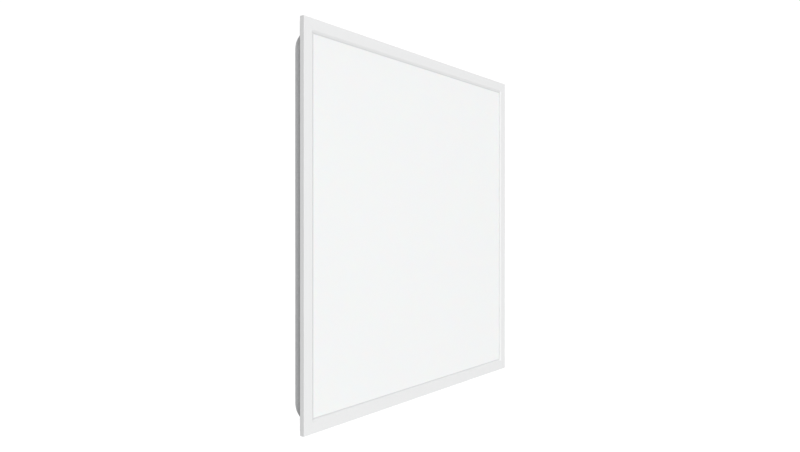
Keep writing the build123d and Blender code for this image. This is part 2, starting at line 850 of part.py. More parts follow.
cover_length = driver_right - cover_left
cover_middle = (cover_left + driver_right) / 2
vent_start = cover_middle - vent_pitch * (vent_count - 1) / 2
vent_spots = [(vent_start + vent_pitch * step, 0) for step in range(vent_count)]
with BuildPart() as driver_cover:
    with BuildSketch(behind(base_floor)):
        with Locations((cover_middle, 0)):
            Rectangle(cover_length, 2 * driver_half_width)
    extrude(amount=driver_height - base_floor)
    long_edges = driver_cover.edges().filter_by(Axis.X).group_by(Axis.Y)[-1]
    fillet(long_edges, radius=cover_edge_radius)
    with BuildSketch(behind(base_floor)):
        with Locations((cover_middle, 0)):
            Rectangle(cover_length - 2 * driver_wall, 2 * (driver_half_width - driver_wall))
    extrude(amount=driver_height - driver_wall - base_floor, mode=Mode.SUBTRACT)
    # The near wall stops above the board
    with BuildSketch(behind(base_floor)):
        with Locations((cover_left + driver_wall / 2, 0)):
            Rectangle(driver_wall, 2 * (driver_half_width - driver_wall))
    extrude(amount=cover_board_gap_y - base_floor, mode=Mode.SUBTRACT)
    # Vents and screw holes in the top
    with BuildSketch(behind(driver_height)):
        with Locations(*vent_spots):
            SlotOverall(vent_length, vent_width, rotation=90)
    extrude(amount=-driver_wall, mode=Mode.SUBTRACT)
    for x, z in post_spots:
        with Locations(Plane(origin=(x, driver_height, z), z_dir=(0, 1, 0))):
            CounterSinkHole(cover_screw_radius, cover_screw_head_radius, depth=driver_wall)
    # Outer knuckles of the lid hinge and the arms that carry them
    hinge_arm_length = cover_left - hinge_x + hinge_arm_overlap
    hinge_arm_y = driver_height - hinge_arm_drop - hinge_arm_thickness / 2
    for start in (outer_knuckle_start, -outer_knuckle_end):
        with BuildSketch(Plane.XY.offset(start)):
            with Locations((hinge_x, hinge_y)):
                Circle(hinge_radius)
            with Locations((hinge_x + hinge_arm_length / 2, hinge_arm_y)):
                Rectangle(hinge_arm_length, hinge_arm_thickness)
        extrude(amount=outer_knuckle_end - outer_knuckle_start)
    with BuildSketch(Plane.XY.offset(-outer_knuckle_end)):
        with Locations((hinge_x, hinge_y)):
            Circle(hinge_pin_radius)
    extrude(amount=2 * outer_knuckle_end, mode=Mode.SUBTRACT)
driver_cover.part.label = "driver_cover"
export_step(driver_cover.part, "parts/driver_cover.step")

with BuildPart() as cover_screws:
    for x, z in post_spots:
        with BuildSketch(through_axis(x, driver_height, z)):
            with BuildLine():
                Polyline(
                    (0, cover_screw_recess_depth),
                    (cover_screw_recess_radius, cover_screw_recess_depth),
                    (cover_screw_recess_radius, 0),
                    (cover_screw_head_radius, 0),
                    (cover_screw_radius, cover_screw_head_height),
                    (cover_screw_radius, driver_wall),
                    (post_hole_radius, driver_wall),
                    (post_hole_radius, cover_screw_length),
                    (0, cover_screw_length),
                    close=True,
                )
            make_face()
        revolve(axis=Axis((x, 0, z), (0, 1, 0)))
cover_screws.part.label = "cover_screws"
export_step(cover_screws.part, "parts/cover_screws.step")

with BuildPart() as terminal_cover:
    with BuildSketch(behind(driver_height - lid_thickness)):
        with Locations(((driver_left + lid_right) / 2, 0)):
            Rectangle(lid_right - driver_left, 2 * driver_half_width)
        with Locations((driver_left - tab_length / 2, 0)):
            Rectangle(tab_length, tab_width)
    extrude(amount=lid_thickness)
    with BuildSketch(Plane.XY.offset(-inner_knuckle_end)):
        with Locations((hinge_x, hinge_y)):
            Circle(hinge_radius)
        with Locations((hinge_x - lid_web_length / 2, driver_height - lid_thickness / 2)):
            Rectangle(lid_web_length, lid_thickness)
    extrude(amount=2 * inner_knuckle_end)
    with BuildSketch(Plane.XY.offset(-inner_knuckle_end)):
        with Locations((hinge_x, hinge_y)):
            Circle(hinge_bore_radius)
    extrude(amount=2 * inner_knuckle_end, mode=Mode.SUBTRACT)
terminal_cover.part.label = "terminal_cover"
export_step(terminal_cover.part, "parts/terminal_cover.step")

with BuildPart() as hinge_pin:
    with BuildSketch(Plane.XY.offset(-outer_knuckle_end)):
        with Locations((hinge_x, hinge_y)):
            Circle(hinge_pin_radius)
    extrude(amount=2 * outer_knuckle_end)
hinge_pin.part.label = "hinge_pin"
export_step(hinge_pin.part, "parts/hinge_pin.step")

# ---------------------------------------------------------------- cable gland
with BuildPart() as gland_body:
    with BuildSketch(across(driver_left)):
        with Locations((0, gland_y)):
            RegularPolygon(gland_hex_radius, 6, major_radius=False)
    extrude(amount=flange_length)
    with BuildSketch(across(driver_left)):
        with Locations((0, gland_y)):
            Circle(gland_thread_radius)
    extrude(amount=-stub_length)
    with BuildSketch(across(driver_left - flange_length)):
        with Locations((0, gland_y)):
            Circle(nose_radius)
    extrude(amount=nose_length)
    with BuildSketch(across(driver_left - flange_length - nose_length)):
        with Locations((0, gland_y)):
            Circle(gland_bore_radius)
    extrude(amount=-(nose_length + flange_length + stub_length), mode=Mode.SUBTRACT)
gland_body.part.label = "gland_body"
export_step(gland_body.part, "parts/gland_body.step")

nose_end_x = driver_left - flange_length - nose_length
nut_front_x = nose_end_x - seal_length - nut_front_wall
nut_back_x = nose_end_x + nose_length - nut_gap
with BuildPart() as gland_nut:
    with BuildSketch(across(nut_back_x)):
        with Locations((0, gland_y)):
            RegularPolygon(gland_hex_radius, 6, major_radius=False)
    extrude(amount=nut_hex_length)
    with BuildSketch(across(nut_back_x - nut_hex_length)):
        with Locations((0, gland_y)):
            Circle(gland_hex_radius)
    extrude(amount=nut_back_x - nut_hex_length - nut_front_x)
    fillet(gland_nut.edges().group_by(Axis.X)[0], radius=nut_front_radius)
    with BuildSketch(across(nut_back_x)):
        with Locations((0, gland_y)):
            Circle(nose_radius)
    extrude(amount=nut_back_x - nose_end_x, mode=Mode.SUBTRACT)
    with BuildSketch(across(nose_end_x)):
        with Locations((0, gland_y)):
            Circle(seal_radius)
    extrude(amount=seal_length, mode=Mode.SUBTRACT)
    with BuildSketch(across(nose_end_x - seal_length)):
        with Locations((0, gland_y)):
            Circle(nut_mouth_radius)
    extrude(amount=nut_front_wall, mode=Mode.SUBTRACT)
gland_nut.part.label = "gland_nut"
export_step(gland_nut.part, "parts/gland_nut.step")

with BuildPart() as gland_seal:
    with BuildSketch(across(nose_end_x)):
        with Locations((0, gland_y)):
            Circle(seal_radius)
            Circle(seal_bore_radius, mode=Mode.SUBTRACT)
    extrude(amount=seal_length)
gland_seal.part.label = "gland_seal"
export_step(gland_seal.part, "parts/gland_seal.step")

with BuildPart() as gland_locknut:
    with BuildSketch(across(driver_left + compartment_end_wall + locknut_thickness)):
        with Locations((0, gland_y)):
            RegularPolygon(locknut_half_width, 6, major_radius=False)
            Circle(gland_thread_radius, mode=Mode.SUBTRACT)
    extrude(amount=locknut_thickness)
gland_locknut.part.label = "gland_locknut"
export_step(gland_locknut.part, "parts/gland_locknut.step")

# ---------------------------------------------------------------- driver board
with BuildPart() as driver_board:
    with BuildSketch(behind(board_bottom_y)):
        with Locations(((board_left + board_right) / 2, 0)):
            Rectangle(board_right - board_left, 2 * board_half_width)
        with Locations(*[(x, -z) for x, z in post_spots]):
            Circle(board_hole_radius, mode=Mode.SUBTRACT)
        with Locations(*header_pin_points):
            Circle(header_pin_radius, mode=Mode.SUBTRACT)
    extrude(amount=board_top_y - board_bottom_y)
driver_board.part.label = "driver_board"
export_step(driver_board.part, "parts/driver_board.step")

pole_heights = [-pole_pitch, 0.0, pole_pitch]
terminal_middle = terminal_left + terminal_length / 2
with BuildPart() as mains_terminal:
    with BuildSketch(behind(board_top_y)):
        with Locations((terminal_middle, 0)):
            Rectangle(terminal_length, 2 * terminal_half_width)
    extrude(amount=terminal_top_y - board_top_y)
    chamfer(mains_terminal.edges().group_by(Axis.Y)[-1], length=terminal_bevel)
    with BuildSketch(across(terminal_left)):
        with Locations(*[(z, entry_y) for z in pole_heights]):
            Circle(wire_entry_radius)
    extrude(amount=-wire_entry_depth, mode=Mode.SUBTRACT)
    with BuildSketch(behind(button_pocket_y)):
        with Locations(*[(button_x, z) for z in pole_heights]):
            Rectangle(button_length + 2 * button_clearance, button_width + 2 * button_clearance)
    extrude(amount=terminal_top_y - button_pocket_y, mode=Mode.SUBTRACT)
mains_terminal.part.label = "mains_terminal"
export_step(mains_terminal.part, "parts/mains_terminal.step")

button_poles = [
    ("release_button_live", pole_pitch),
    ("release_button_neutral", 0.0),
    ("release_button_earth", -pole_pitch),
]
for button_label, z in button_poles:
    with BuildPart() as release_button:
        with BuildSketch(behind(button_bottom_y)):
            with Locations((button_x, -z)):
                Rectangle(button_length, button_width)
        extrude(amount=button_top_y - button_bottom_y)
        fillet(release_button.edges().group_by(Axis.Y)[-1], radius=button_edge_radius)
        with BuildSketch(behind(button_top_y)):
            with Locations((button_x, -z)):
                Rectangle(button_slot_length, button_slot_width)
        extrude(amount=-button_slot_depth, mode=Mode.SUBTRACT)
    release_button.part.label = button_label
    export_step(release_button.part, f"parts/{button_label}.step")

with BuildPart() as output_header:
    with BuildSketch(behind(pan_inner_y)):
        with Locations((bus_x, 0)):
            Rectangle(header_width, header_length)
        with Locations(*header_pin_points):
            Circle(header_pin_radius, mode=Mode.SUBTRACT)
    extrude(amount=board_bottom_y - pan_inner_y)
output_header.part.label = "output_header"
export_step(output_header.part, "parts/output_header.step")

with BuildPart() as output_pins:
    with BuildSketch(behind(board_front_y - header_pin_tail)):
        with Locations(*header_pin_points):
            Circle(header_pin_radius)
    extrude(amount=board_top_y - board_front_y + 2 * header_pin_tail)
output_pins.part.label = "output_pins"
export_step(output_pins.part, "parts/output_pins.step")

# ---------------------------------------------------------------- components on the board
core_x = 213.0
core_z = 3.0
core_height = 15.0
core_length = 22.0
core_width = 8.0
window_width = 5.0
window_height = 9.6
leg_width = 6.0
window_y = board_top_y + core_height / 2
with BuildPart() as transformer_core:
    with BuildSketch(Plane.XY.offset(core_z - core_width / 2)):
        with Locations((core_x, window_y)):
            Rectangle(core_length, core_height)
            with GridLocations(leg_width + window_width, 0, 2, 1):
                Rectangle(window_width, window_height, mode=Mode.SUBTRACT)
    extrude(amount=core_width)
transformer_core.part.label = "transformer_core"
export_step(transformer_core.part, "parts/transformer_core.step")

winding_gap = 0.2
winding_width = 16.6
winding_corner_radius = 2.5
with BuildPart() as transformer_winding:
    with BuildSketch(behind(window_y - window_height / 2 + winding_gap)):
        with Locations((core_x, -core_z)):
            winding_length = leg_width + 2 * window_width - 2 * winding_gap
            RectangleRounded(winding_length, winding_width, radius=winding_corner_radius)
            Rectangle(leg_width, core_width, mode=Mode.SUBTRACT)
    extrude(amount=window_height - 2 * winding_gap)
transformer_winding.part.label = "transformer_winding"
export_step(transformer_winding.part, "parts/transformer_winding.step")

# The input capacitor lies along the board, and the output capacitor stands on it
input_can_x = 223.0
input_can_z = -12.0
input_can_radius = 6.0
input_can_length = 22.0
input_can_edge_radius = 0.8
with BuildPart() as input_capacitor:
    with BuildSketch(across(input_can_x)):
        with Locations((input_can_z, board_top_y + input_can_radius)):
            Circle(input_can_radius)
    extrude(amount=input_can_length)
    fillet(input_capacitor.edges().filter_by(GeomType.CIRCLE), radius=input_can_edge_radius)
input_capacitor.part.label = "input_capacitor"
export_step(input_capacitor.part, "parts/input_capacitor.step")

output_can_x = 233.0
output_can_z = -8.0
output_can_radius = 5.0
output_can_height = 16.0
output_can_edge_radius = 0.6
with BuildPart() as output_capacitor:
    with BuildSketch(behind(board_top_y)):
        with Locations((output_can_x, -output_can_z)):
            Circle(output_can_radius)
    extrude(amount=output_can_height)
    fillet(output_capacitor.edges().filter_by(GeomType.CIRCLE), radius=output_can_edge_radius)
output_capacitor.part.label = "output_capacitor"
export_step(output_capacitor.part, "parts/output_capacitor.step")

choke_x = 176.0
choke_z = -5.0
choke_middle_y = board_top_y + 5.0
choke_axis = Axis((choke_x, 0, choke_z), (0, 1, 0))
choke_mean_radius = 6.8
choke_core_thickness = 4.4
choke_core_height = 7.0
choke_wire = 1.2
winding_outer_thickness = choke_core_thickness + 2 * choke_wire
winding_outer_height = choke_core_height + 2 * choke_wire
choke_winding_angle = 140.0
choke_winding_starts = (20.0, 200.0)
with BuildPart() as choke_core:
    with BuildSketch(through_axis(choke_x, choke_middle_y, choke_z)):
        with Locations((choke_mean_radius, 0)):
            Rectangle(choke_core_thickness, choke_core_height)
    revolve(axis=choke_axis)
choke_core.part.label = "choke_core"
export_step(choke_core.part, "parts/choke_core.step")

with BuildPart() as choke_windings:
    for start in choke_winding_starts:
        start_angle = math.radians(start)
        radial = Vector(math.cos(start_angle), 0, math.sin(start_angle))
        winding_plane = Plane(
            origin=(choke_x, choke_middle_y, choke_z), x_dir=radial, z_dir=radial.cross(Vector(0, 1, 0))
        )
        with BuildSketch(winding_plane):
            with Locations((choke_mean_radius, 0)):
                RectangleRounded(winding_outer_thickness, winding_outer_height, radius=choke_wire)
                Rectangle(choke_core_thickness, choke_core_height, mode=Mode.SUBTRACT)
        revolve(axis=choke_axis, revolution_arc=choke_winding_angle)
choke_windings.part.label = "choke_windings"
export_step(choke_windings.part, "parts/choke_windings.step")

film_x = 193.5
film_z = -9.0
film_length = 8.0
film_width = 18.0
film_height = 14.0
film_bevel = 0.5
with BuildPart() as film_capacitor:
    with BuildSketch(behind(board_top_y)):
        with Locations((film_x, -film_z)):
            Rectangle(film_length, film_width)
    extrude(amount=film_height)
    chamfer(film_capacitor.edges().group_by(Axis.Y)[-1], length=film_bevel)
film_capacitor.part.label = "film_capacitor"
export_step(film_capacitor.part, "parts/film_capacitor.step")

fuse_right = 189.0
fuse_z = 15.5
fuse_rise = 3.0
fuse_length = 22.0
fuse_glass_radius = 2.4
fuse_cap_radius = 2.9
fuse_cap_length = 5.0
with BuildPart() as fuse:
    with BuildSketch(across(fuse_right)):
        with Locations((fuse_z, board_top_y + fuse_rise)):
            Circle(fuse_glass_radius)
    extrude(amount=fuse_length)
    for cap_right in (fuse_right, fuse_right - fuse_length + fuse_cap_length):
        with BuildSketch(across(cap_right)):
            with Locations((fuse_z, board_top_y + fuse_rise)):
                Circle(fuse_cap_radius)
        extrude(amount=fuse_cap_length)
fuse.part.label = "fuse"
export_step(fuse.part, "parts/fuse.step")

sink_x = 215.0
sink_plate_z = 18.4
sink_length = 40.0
sink_plate_thickness = 1.6
sink_height = 14.5
fin_z = 19.6
fin_pitch = 6.0
fin_count = 7
fin_side = 1.2
with BuildPart() as heat_sink:
    with BuildSketch(behind(board_top_y)):
        with Locations((sink_x, -sink_plate_z)):
            Rectangle(sink_length, sink_plate_thickness)
        with Locations((sink_x, -fin_z)):
            with GridLocations(fin_pitch, 0, fin_count, 1):
                Rectangle(fin_side, fin_side)
    extrude(amount=sink_height)
heat_sink.part.label = "heat_sink"
export_step(heat_sink.part, "parts/heat_sink.step")

transistor_z = 15.4
transistor_length = 10.0
transistor_thickness = 4.4
transistor_height = 10.0
lead_rise = 3.0
lead_pitch = 2.54
lead_width = 0.9
lead_thickness = 0.6
with BuildPart() as power_transistor:
    with BuildSketch(behind(board_top_y + lead_rise)):
        with Locations((sink_x, -transistor_z)):
            Rectangle(transistor_length, transistor_thickness)
    extrude(amount=transistor_height)
    with BuildSketch(behind(board_top_y)):
        with Locations((sink_x, -transistor_z)):
            with GridLocations(lead_pitch, 0, 3, 1):
                Rectangle(lead_width, lead_thickness)
    extrude(amount=lead_rise)
power_transistor.part.label = "power_transistor"
export_step(power_transistor.part, "parts/power_transistor.step")
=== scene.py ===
"""Looks of the square lay-in LED panel light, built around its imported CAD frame."""

import json
import math

import bmesh
import bpy
from mathutils import Matrix, Vector


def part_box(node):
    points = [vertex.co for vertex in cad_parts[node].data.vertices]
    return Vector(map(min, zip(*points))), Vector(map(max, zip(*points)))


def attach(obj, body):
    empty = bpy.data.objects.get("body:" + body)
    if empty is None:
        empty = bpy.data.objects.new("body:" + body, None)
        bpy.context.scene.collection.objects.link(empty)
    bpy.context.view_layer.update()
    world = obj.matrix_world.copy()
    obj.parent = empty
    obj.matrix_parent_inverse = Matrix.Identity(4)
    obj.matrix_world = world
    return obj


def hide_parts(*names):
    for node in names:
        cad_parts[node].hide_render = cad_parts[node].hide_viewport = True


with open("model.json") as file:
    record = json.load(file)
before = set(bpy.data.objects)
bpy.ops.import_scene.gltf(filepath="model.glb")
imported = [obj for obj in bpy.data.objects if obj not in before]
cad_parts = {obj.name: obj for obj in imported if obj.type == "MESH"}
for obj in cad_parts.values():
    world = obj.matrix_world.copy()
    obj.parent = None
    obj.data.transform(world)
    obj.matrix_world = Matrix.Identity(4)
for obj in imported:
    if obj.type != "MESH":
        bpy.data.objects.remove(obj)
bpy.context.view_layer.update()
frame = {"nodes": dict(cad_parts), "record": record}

MM = 0.001
FRAME_LOW, FRAME_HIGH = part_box("frame_bottom")
SIDE = FRAME_HIGH.x - FRAME_LOW.x
FRONT_Y = FRAME_LOW.y

# Camera, in panel sides from the panel's middle and from its front face; the lens in millimetres
CAMERA_LEFT = 1.67494
CAMERA_FRONT = 1.16080
CAMERA_LENS = 31.08
CAMERA_SENSOR = 36.0
CAMERA_TURN = math.radians(-53.27)

# Studio: a white room with a pale floor, in metres, under the upright panel
FLOOR_DROP = 0.35
FLOOR_SIZE = 30.0
FLOOR_GREY = 0.96
FLOOR_ROUGHNESS = 0.9
BACKDROP_LEVEL = 1.05
HORIZON_LEVEL = 0.34
STEEP_LEVEL = 0.45

# Lights: the direction to each, its strength, and its apparent size in degrees
SUNS = {
    "front_light": ((0.35, -0.92, 0.0), 0.63, 50),
    "side_light": ((-0.60, -0.78, 0.0), 1.72, 30),
    "back_light": ((0.50, 0.36, 0.70), 1.90, 14),
    "top_light": ((0.05, 0.10, 1.0), 0.85, 60),
}


# ---------------------------------------------------------------- camera, light and floor
def add_camera():
    """A level camera in front of the panel and to its left."""
    data = bpy.data.cameras.new("camera")
    data.lens = CAMERA_LENS
    data.sensor_width = CAMERA_SENSOR
    camera = bpy.data.objects.new("camera", data)
    camera.location = (-CAMERA_LEFT * SIDE, FRONT_Y - CAMERA_FRONT * SIDE, 0)
    camera.rotation_euler = (math.pi / 2, 0, CAMERA_TURN)
    bpy.context.scene.collection.objects.link(camera)
    bpy.context.scene.camera = camera


def add_sun(name, direction, strength, spread):
    """A soft sun that shines from a direction."""
    data = bpy.data.lights.new(name, "SUN")
    data.energy = strength
    data.angle = math.radians(spread)
    sun = bpy.data.objects.new(name, data)
    sun.rotation_euler = Vector(direction).to_track_quat("Z", "Y").to_euler()
    bpy.context.scene.collection.objects.link(sun)


def add_world():
    """A plain white backdrop whose light grows from the horizon upward and downward."""
    world = bpy.data.worlds.new("studio")
    bpy.context.scene.world = world
    world.use_nodes = True
    tree = world.node_tree
    tree.nodes.clear()
    output = tree.nodes.new("ShaderNodeOutputWorld")
    backdrop = tree.nodes.new("ShaderNodeBackground")
    room = tree.nodes.new("ShaderNodeBackground")
    mix = tree.nodes.new("ShaderNodeMixShader")
    path = tree.nodes.new("ShaderNodeLightPath")
    where = tree.nodes.new("ShaderNodeTexCoord")
    split = tree.nodes.new("ShaderNodeSeparateXYZ")
    steepness = tree.nodes.new("ShaderNodeMath")
    steepness.operation = "ABSOLUTE"
    level = tree.nodes.new("ShaderNodeMapRange")
    backdrop.inputs["Color"].default_value = (1, 1, 1, 1)
    backdrop.inputs["Strength"].default_value = BACKDROP_LEVEL
    room.inputs["Color"].default_value = (1, 1, 1, 1)
    level.inputs["To Min"].default_value = HORIZON_LEVEL
    level.inputs["To Max"].default_value = STEEP_LEVEL
    tree.links.new(where.outputs["Generated"], split.inputs["Vector"])
    tree.links.new(split.outputs["Z"], steepness.inputs[0])
    tree.links.new(steepness.outputs["Value"], level.inputs["Value"])
    tree.links.new(level.outputs["Result"], room.inputs["Strength"])
    tree.links.new(path.outputs["Is Camera Ray"], mix.inputs["Fac"])
    tree.links.new(room.outputs["Background"], mix.inputs[1])
    tree.links.new(backdrop.outputs["Background"], mix.inputs[2])
    tree.links.new(mix.outputs["Shader"], output.inputs["Surface"])


def add_floor():
    """A pale floor that takes the panel's shadow but neither lights nor shades the panel."""
    mesh = bpy.data.meshes.new("floor")
    half = FLOOR_SIZE / 2
    low = FRAME_LOW.z - FLOOR_DROP
    corners = [(-half, -half, low), (half, -half, low), (half, half, low), (-half, half, low)]
    mesh.from_pydata(corners, [], [(0, 1, 2, 3)])
    floor = bpy.data.objects.new("floor", mesh)
    bpy.context.scene.collection.objects.link(floor)
    material = bpy.data.materials.new("floor")
    material.use_nodes = True
    shader = material.node_tree.nodes["Principled BSDF"]
    shader.inputs["Base Color"].default_value = (FLOOR_GREY, FLOOR_GREY, FLOOR_GREY, 1)
    shader.inputs["Roughness"].default_value = FLOOR_ROUGHNESS
    mesh.materials.append(material)
    floor.visible_diffuse = False
    floor.visible_glossy = False
    floor.visible_shadow = False


add_camera()
add_world()
for sun_name, (direction, strength, spread) in SUNS.items():
    add_sun(sun_name, direction, strength, spread)
add_floor()
bpy.context.scene.view_settings.view_transform = "Standard"


# ---------------------------------------------------------------- materials
# Noise and cell scales are per metre; stretches scale the grain along each axis
MIX_FACTOR, MIX_FIRST, MIX_SECOND = 0, 6, 7
MIX_RESULT = 2
SMOOTHEST = 0.03
# Painted shade in the creases: the share of the colour left where it is darkest, and the occlusion samples
# that find the creases
SHADE_LEFT = 0.2
SHADE_SAMPLES = 6
EDGE_SAMPLES = 4
BACK_START, BACK_END = -4 * MM, -1 * MM
WORN_SHARP, WORN_FLAT = 0.72, 0.97
WORN_GRAIN_START, WORN_GRAIN_END = 0.42, 0.62
EVERY_WAY = (1, 1, 1)
ROLLED_X = (0.05, 1, 1)
ROLLED_Z = (1, 1, 0.05)
BRUSHED_Z = (1, 1, 0.1)


class Surface:
    """A node material around one Principled shader, built up in steps."""

    def __init__(self, name, colour, roughness, metallic=0.0):
        self.material = bpy.data.materials.new(name)
        self.material.use_nodes = True
        self.tree = self.material.node_tree
        self.shader = self.tree.nodes["Principled BSDF"]
        self.shader.inputs["Base Color"].default_value = (*colour, 1)
        self.shader.inputs["Roughness"].default_value = roughness
        self.shader.inputs["Metallic"].default_value = metallic
        self.colour = colour
        self.roughness = roughness
        self.where = self.node("ShaderNodeTexCoord").outputs["Object"]
        self.tint = None
        self.normal = None

    def node(self, kind, **inputs):
        """Add a node with some of its inputs set."""
        made = self.tree.nodes.new(kind)
        for key, value in inputs.items():
            made.inputs[key].default_value = value
        return made

    def link(self, start, end):
        self.tree.links.new(start, end)

    def stretched(self, stretch):
        """The piece's own coordinates, scaled along each axis."""
        mapping = self.node("ShaderNodeMapping", Scale=stretch)
        self.link(self.where, mapping.inputs["Vector"])
        return mapping.outputs["Vector"]

    def noise(self, scale, detail=3.0, stretch=EVERY_WAY):
        made = self.node("ShaderNodeTexNoise", Scale=scale, Detail=detail)
        self.link(self.stretched(stretch), made.inputs["Vector"])
        return made.outputs["Fac"]

    def cells(self, scale):
        """Flat random greys in irregular cells."""
        made = self.node("ShaderNodeTexVoronoi", Scale=scale)
        self.link(self.stretched(EVERY_WAY), made.inputs["Vector"])
        split = self.node("ShaderNodeSeparateColor")
        self.link(made.outputs["Color"], split.inputs["Color"])
        return split.outputs["Red"]

    def level(self, value, low, high, start=0.3, end=0.7):
        """Spread the values from start to end over low to high."""
        made = self.node("ShaderNodeMapRange")
        made.inputs["From Min"].default_value = start
        made.inputs["From Max"].default_value = end
        made.inputs["To Min"].default_value = low
        made.inputs["To Max"].default_value = high
        self.link(value, made.inputs["Value"])
        return made.outputs["Result"]

    def product(self, first, second):
        made = self.node("ShaderNodeMath")
        made.operation = "MULTIPLY"
        self.link(first, made.inputs[0])
        self.link(second, made.inputs[1])
        return made.outputs["Value"]

    def blend(self, factor, second):
        """Mix the colour so far with a second colour where the factor is high."""
        mix = self.node("ShaderNodeMix")
        mix.data_type = "RGBA"
        mix.inputs[MIX_FIRST].default_value = (*self.colour, 1)
        mix.inputs[MIX_SECOND].default_value = (*second, 1)
        if self.tint is not None:
            self.link(self.tint, mix.inputs[MIX_FIRST])
        self.link(factor, mix.inputs[MIX_FACTOR])
        self.tint = mix.outputs[MIX_RESULT]
        self.link(self.tint, self.shader.inputs["Base Color"])

    def shade(self, value, amount):
        """Darken the colour by up to the given share where the value is high."""
        self.blend(self.level(value, 0, 1), [channel * (1 - amount) for channel in self.colour])

    def creases(self, reach, start, end, behind_share):
        """Paint shade into the creases that ambient occlusion finds, fully in front of the back's plane
        and less on the back.
        """
        # Painted shade: the colour darkens where occlusion finds other surfaces close by
        occlusion = self.node("ShaderNodeAmbientOcclusion", Distance=reach)
        occlusion.samples = SHADE_SAMPLES
        hidden = self.level(occlusion.outputs["AO"], 1.0, 0.0, start, end)
        split = self.node("ShaderNodeSeparateXYZ")
        self.link(self.where, split.inputs["Vector"])
        share = self.level(split.outputs["Y"], 1.0, behind_share, BACK_START, BACK_END)
        self.blend(self.product(hidden, share), [channel * SHADE_LEFT for channel in self.colour])

    def vary_roughness(self, value, spread):
        """Let the roughness wander by the spread to either side."""
        low = max(self.roughness - spread, SMOOTHEST)
        high = min(self.roughness + spread, 1.0)
        self.link(self.level(value, low, high), self.shader.inputs["Roughness"])

    def bump(self, value, distance, strength):
        """Raise the surface by up to the distance, on top of the bumps so far."""
        made = self.node("ShaderNodeBump", Strength=strength, Distance=distance)
        self.link(value, made.inputs["Height"])
        if self.normal is not None:
            self.link(self.normal, made.inputs["Normal"])
        self.normal = made.outputs["Normal"]
        self.link(self.normal, self.shader.inputs["Normal"])

    def rounded(self, radius):
        """Break the sharp edges; bumps that follow lie on the rounded normal."""
        soft = self.node("ShaderNodeBevel", Radius=radius)
        soft.samples = EDGE_SAMPLES
        self.normal = soft.outputs["Normal"]
        self.link(self.normal, self.shader.inputs["Normal"])

    def edges(self, radius, colour, amount, grain=400.0):
        """Wear the edges towards a colour, broken up by a fine grain."""
        soft = self.node("ShaderNodeBevel", Radius=radius)
        soft.samples = EDGE_SAMPLES
        sharp = self.node("ShaderNodeNewGeometry")
        dot = self.node("ShaderNodeVectorMath")
        dot.operation = "DOT_PRODUCT"
        self.link(soft.outputs["Normal"], dot.inputs[0])
        self.link(sharp.outputs["Normal"], dot.inputs[1])
        edge = self.level(dot.outputs["Value"], amount, 0.0, WORN_SHARP, WORN_FLAT)
        broken = self.level(self.noise(grain, 4.0), 0.0, 1.0, WORN_GRAIN_START, WORN_GRAIN_END)
        self.blend(self.product(edge, broken), colour)


def powder_coat(name):
    """White polyester powder coat: orange peel, faint cloudiness, polished edges."""
    made = Surface(name, (0.832, 0.836, 0.838), 0.42)
    made.rounded(0.2 * MM)
    made.shade(made.noise(14.0), 0.010)
    made.shade(made.noise(2600.0, 2.0), 0.012)
    made.vary_roughness(made.noise(60.0), 0.05)
    made.bump(made.noise(520.0, 2.0), 0.05 * MM, 0.5)
    made.bump(made.noise(2200.0, 2.0), 0.01 * MM, 0.4)
    made.edges(0.5 * MM, (0.90, 0.905, 0.905), 0.5)
    made.shader.inputs["Specular IOR Level"].default_value = 0.35
    return made.material


def opal(name):
    """Opal acrylic: a satin face over a milky body with faint flow clouds."""
    made = Surface(name, (0.908, 0.908, 0.907), 0.5)
    made.shade(made.noise(5.0, 2.0), 0.005)
    made.shade(made.noise(1900.0, 2.0), 0.006)
    made.vary_roughness(made.noise(40.0), 0.04)
    made.bump(made.noise(1600.0, 2.0), 0.012 * MM, 0.35)
    made.shader.inputs["Subsurface Weight"].default_value = 0.12
    made.shader.inputs["Subsurface Scale"].default_value = 3.0 * MM
    made.shader.inputs["Specular IOR Level"].default_value = 0.3
    return made.material


def seal_strip(name):
    """Soft light-grey seal, slightly chalky, with a fine grain; its grey is partly its own and partly
    painted shade.
    """
    # Partly painted shade: this grey is darker than a bare seal's, so the line around the diffuser looks
    # shaded on every side
    made = Surface(name, (0.735, 0.74, 0.745), 0.7)
    made.shade(made.noise(90.0), 0.04)
    made.shade(made.noise(1800.0, 2.0), 0.05)
    made.vary_roughness(made.noise(200.0), 0.08)
    made.bump(made.noise(2400.0, 2.0), 0.01 * MM, 0.5)
    return made.material


def pan_steel(name):
    """Galvanised steel: spangle, rolled grain along X, clouds, painted shade in the creases, worn edges.
    """
    made = Surface(name, (0.82, 0.83, 0.842), 0.45, 0.25)
    made.rounded(0.3 * MM)
    made.shade(made.noise(9.0, 4.0), 0.07)
    made.shade(made.cells(130.0), 0.10)
    made.shade(made.cells(310.0), 0.07)
    made.shade(made.noise(700.0, 3.0, ROLLED_X), 0.05)
    made.vary_roughness(made.cells(130.0), 0.09)
    made.bump(made.noise(1300.0, 3.0, ROLLED_X), 0.008 * MM, 0.4)
    made.edges(0.8 * MM, (0.74, 0.75, 0.76), 0.6)
    # Painted shade in the creases, darkest on the pan's wall next to the frame
    made.creases(30.0 * MM, 0.83, 0.95, 0.3)
    return made.material


def zinc(name):
    """Bright zinc plate: a cool and a warm cast side by side, fine brushing, dull spots."""
    made = Surface(name, (0.68, 0.70, 0.73), 0.34, 1.0)
    made.rounded(0.3 * MM)
    made.blend(made.level(made.noise(120.0), 0, 1), (0.74, 0.71, 0.64))
    made.blend(made.level(made.noise(700.0, 4.0), 0, 0.6, 0.55, 0.75), (0.45, 0.46, 0.48))
    made.vary_roughness(made.noise(500.0, 4.0), 0.12)
    made.bump(made.noise(1800.0, 3.0, BRUSHED_Z), 0.01 * MM, 0.5)
    made.edges(0.3 * MM, (0.85, 0.86, 0.88), 0.8, 900.0)
    return made.material


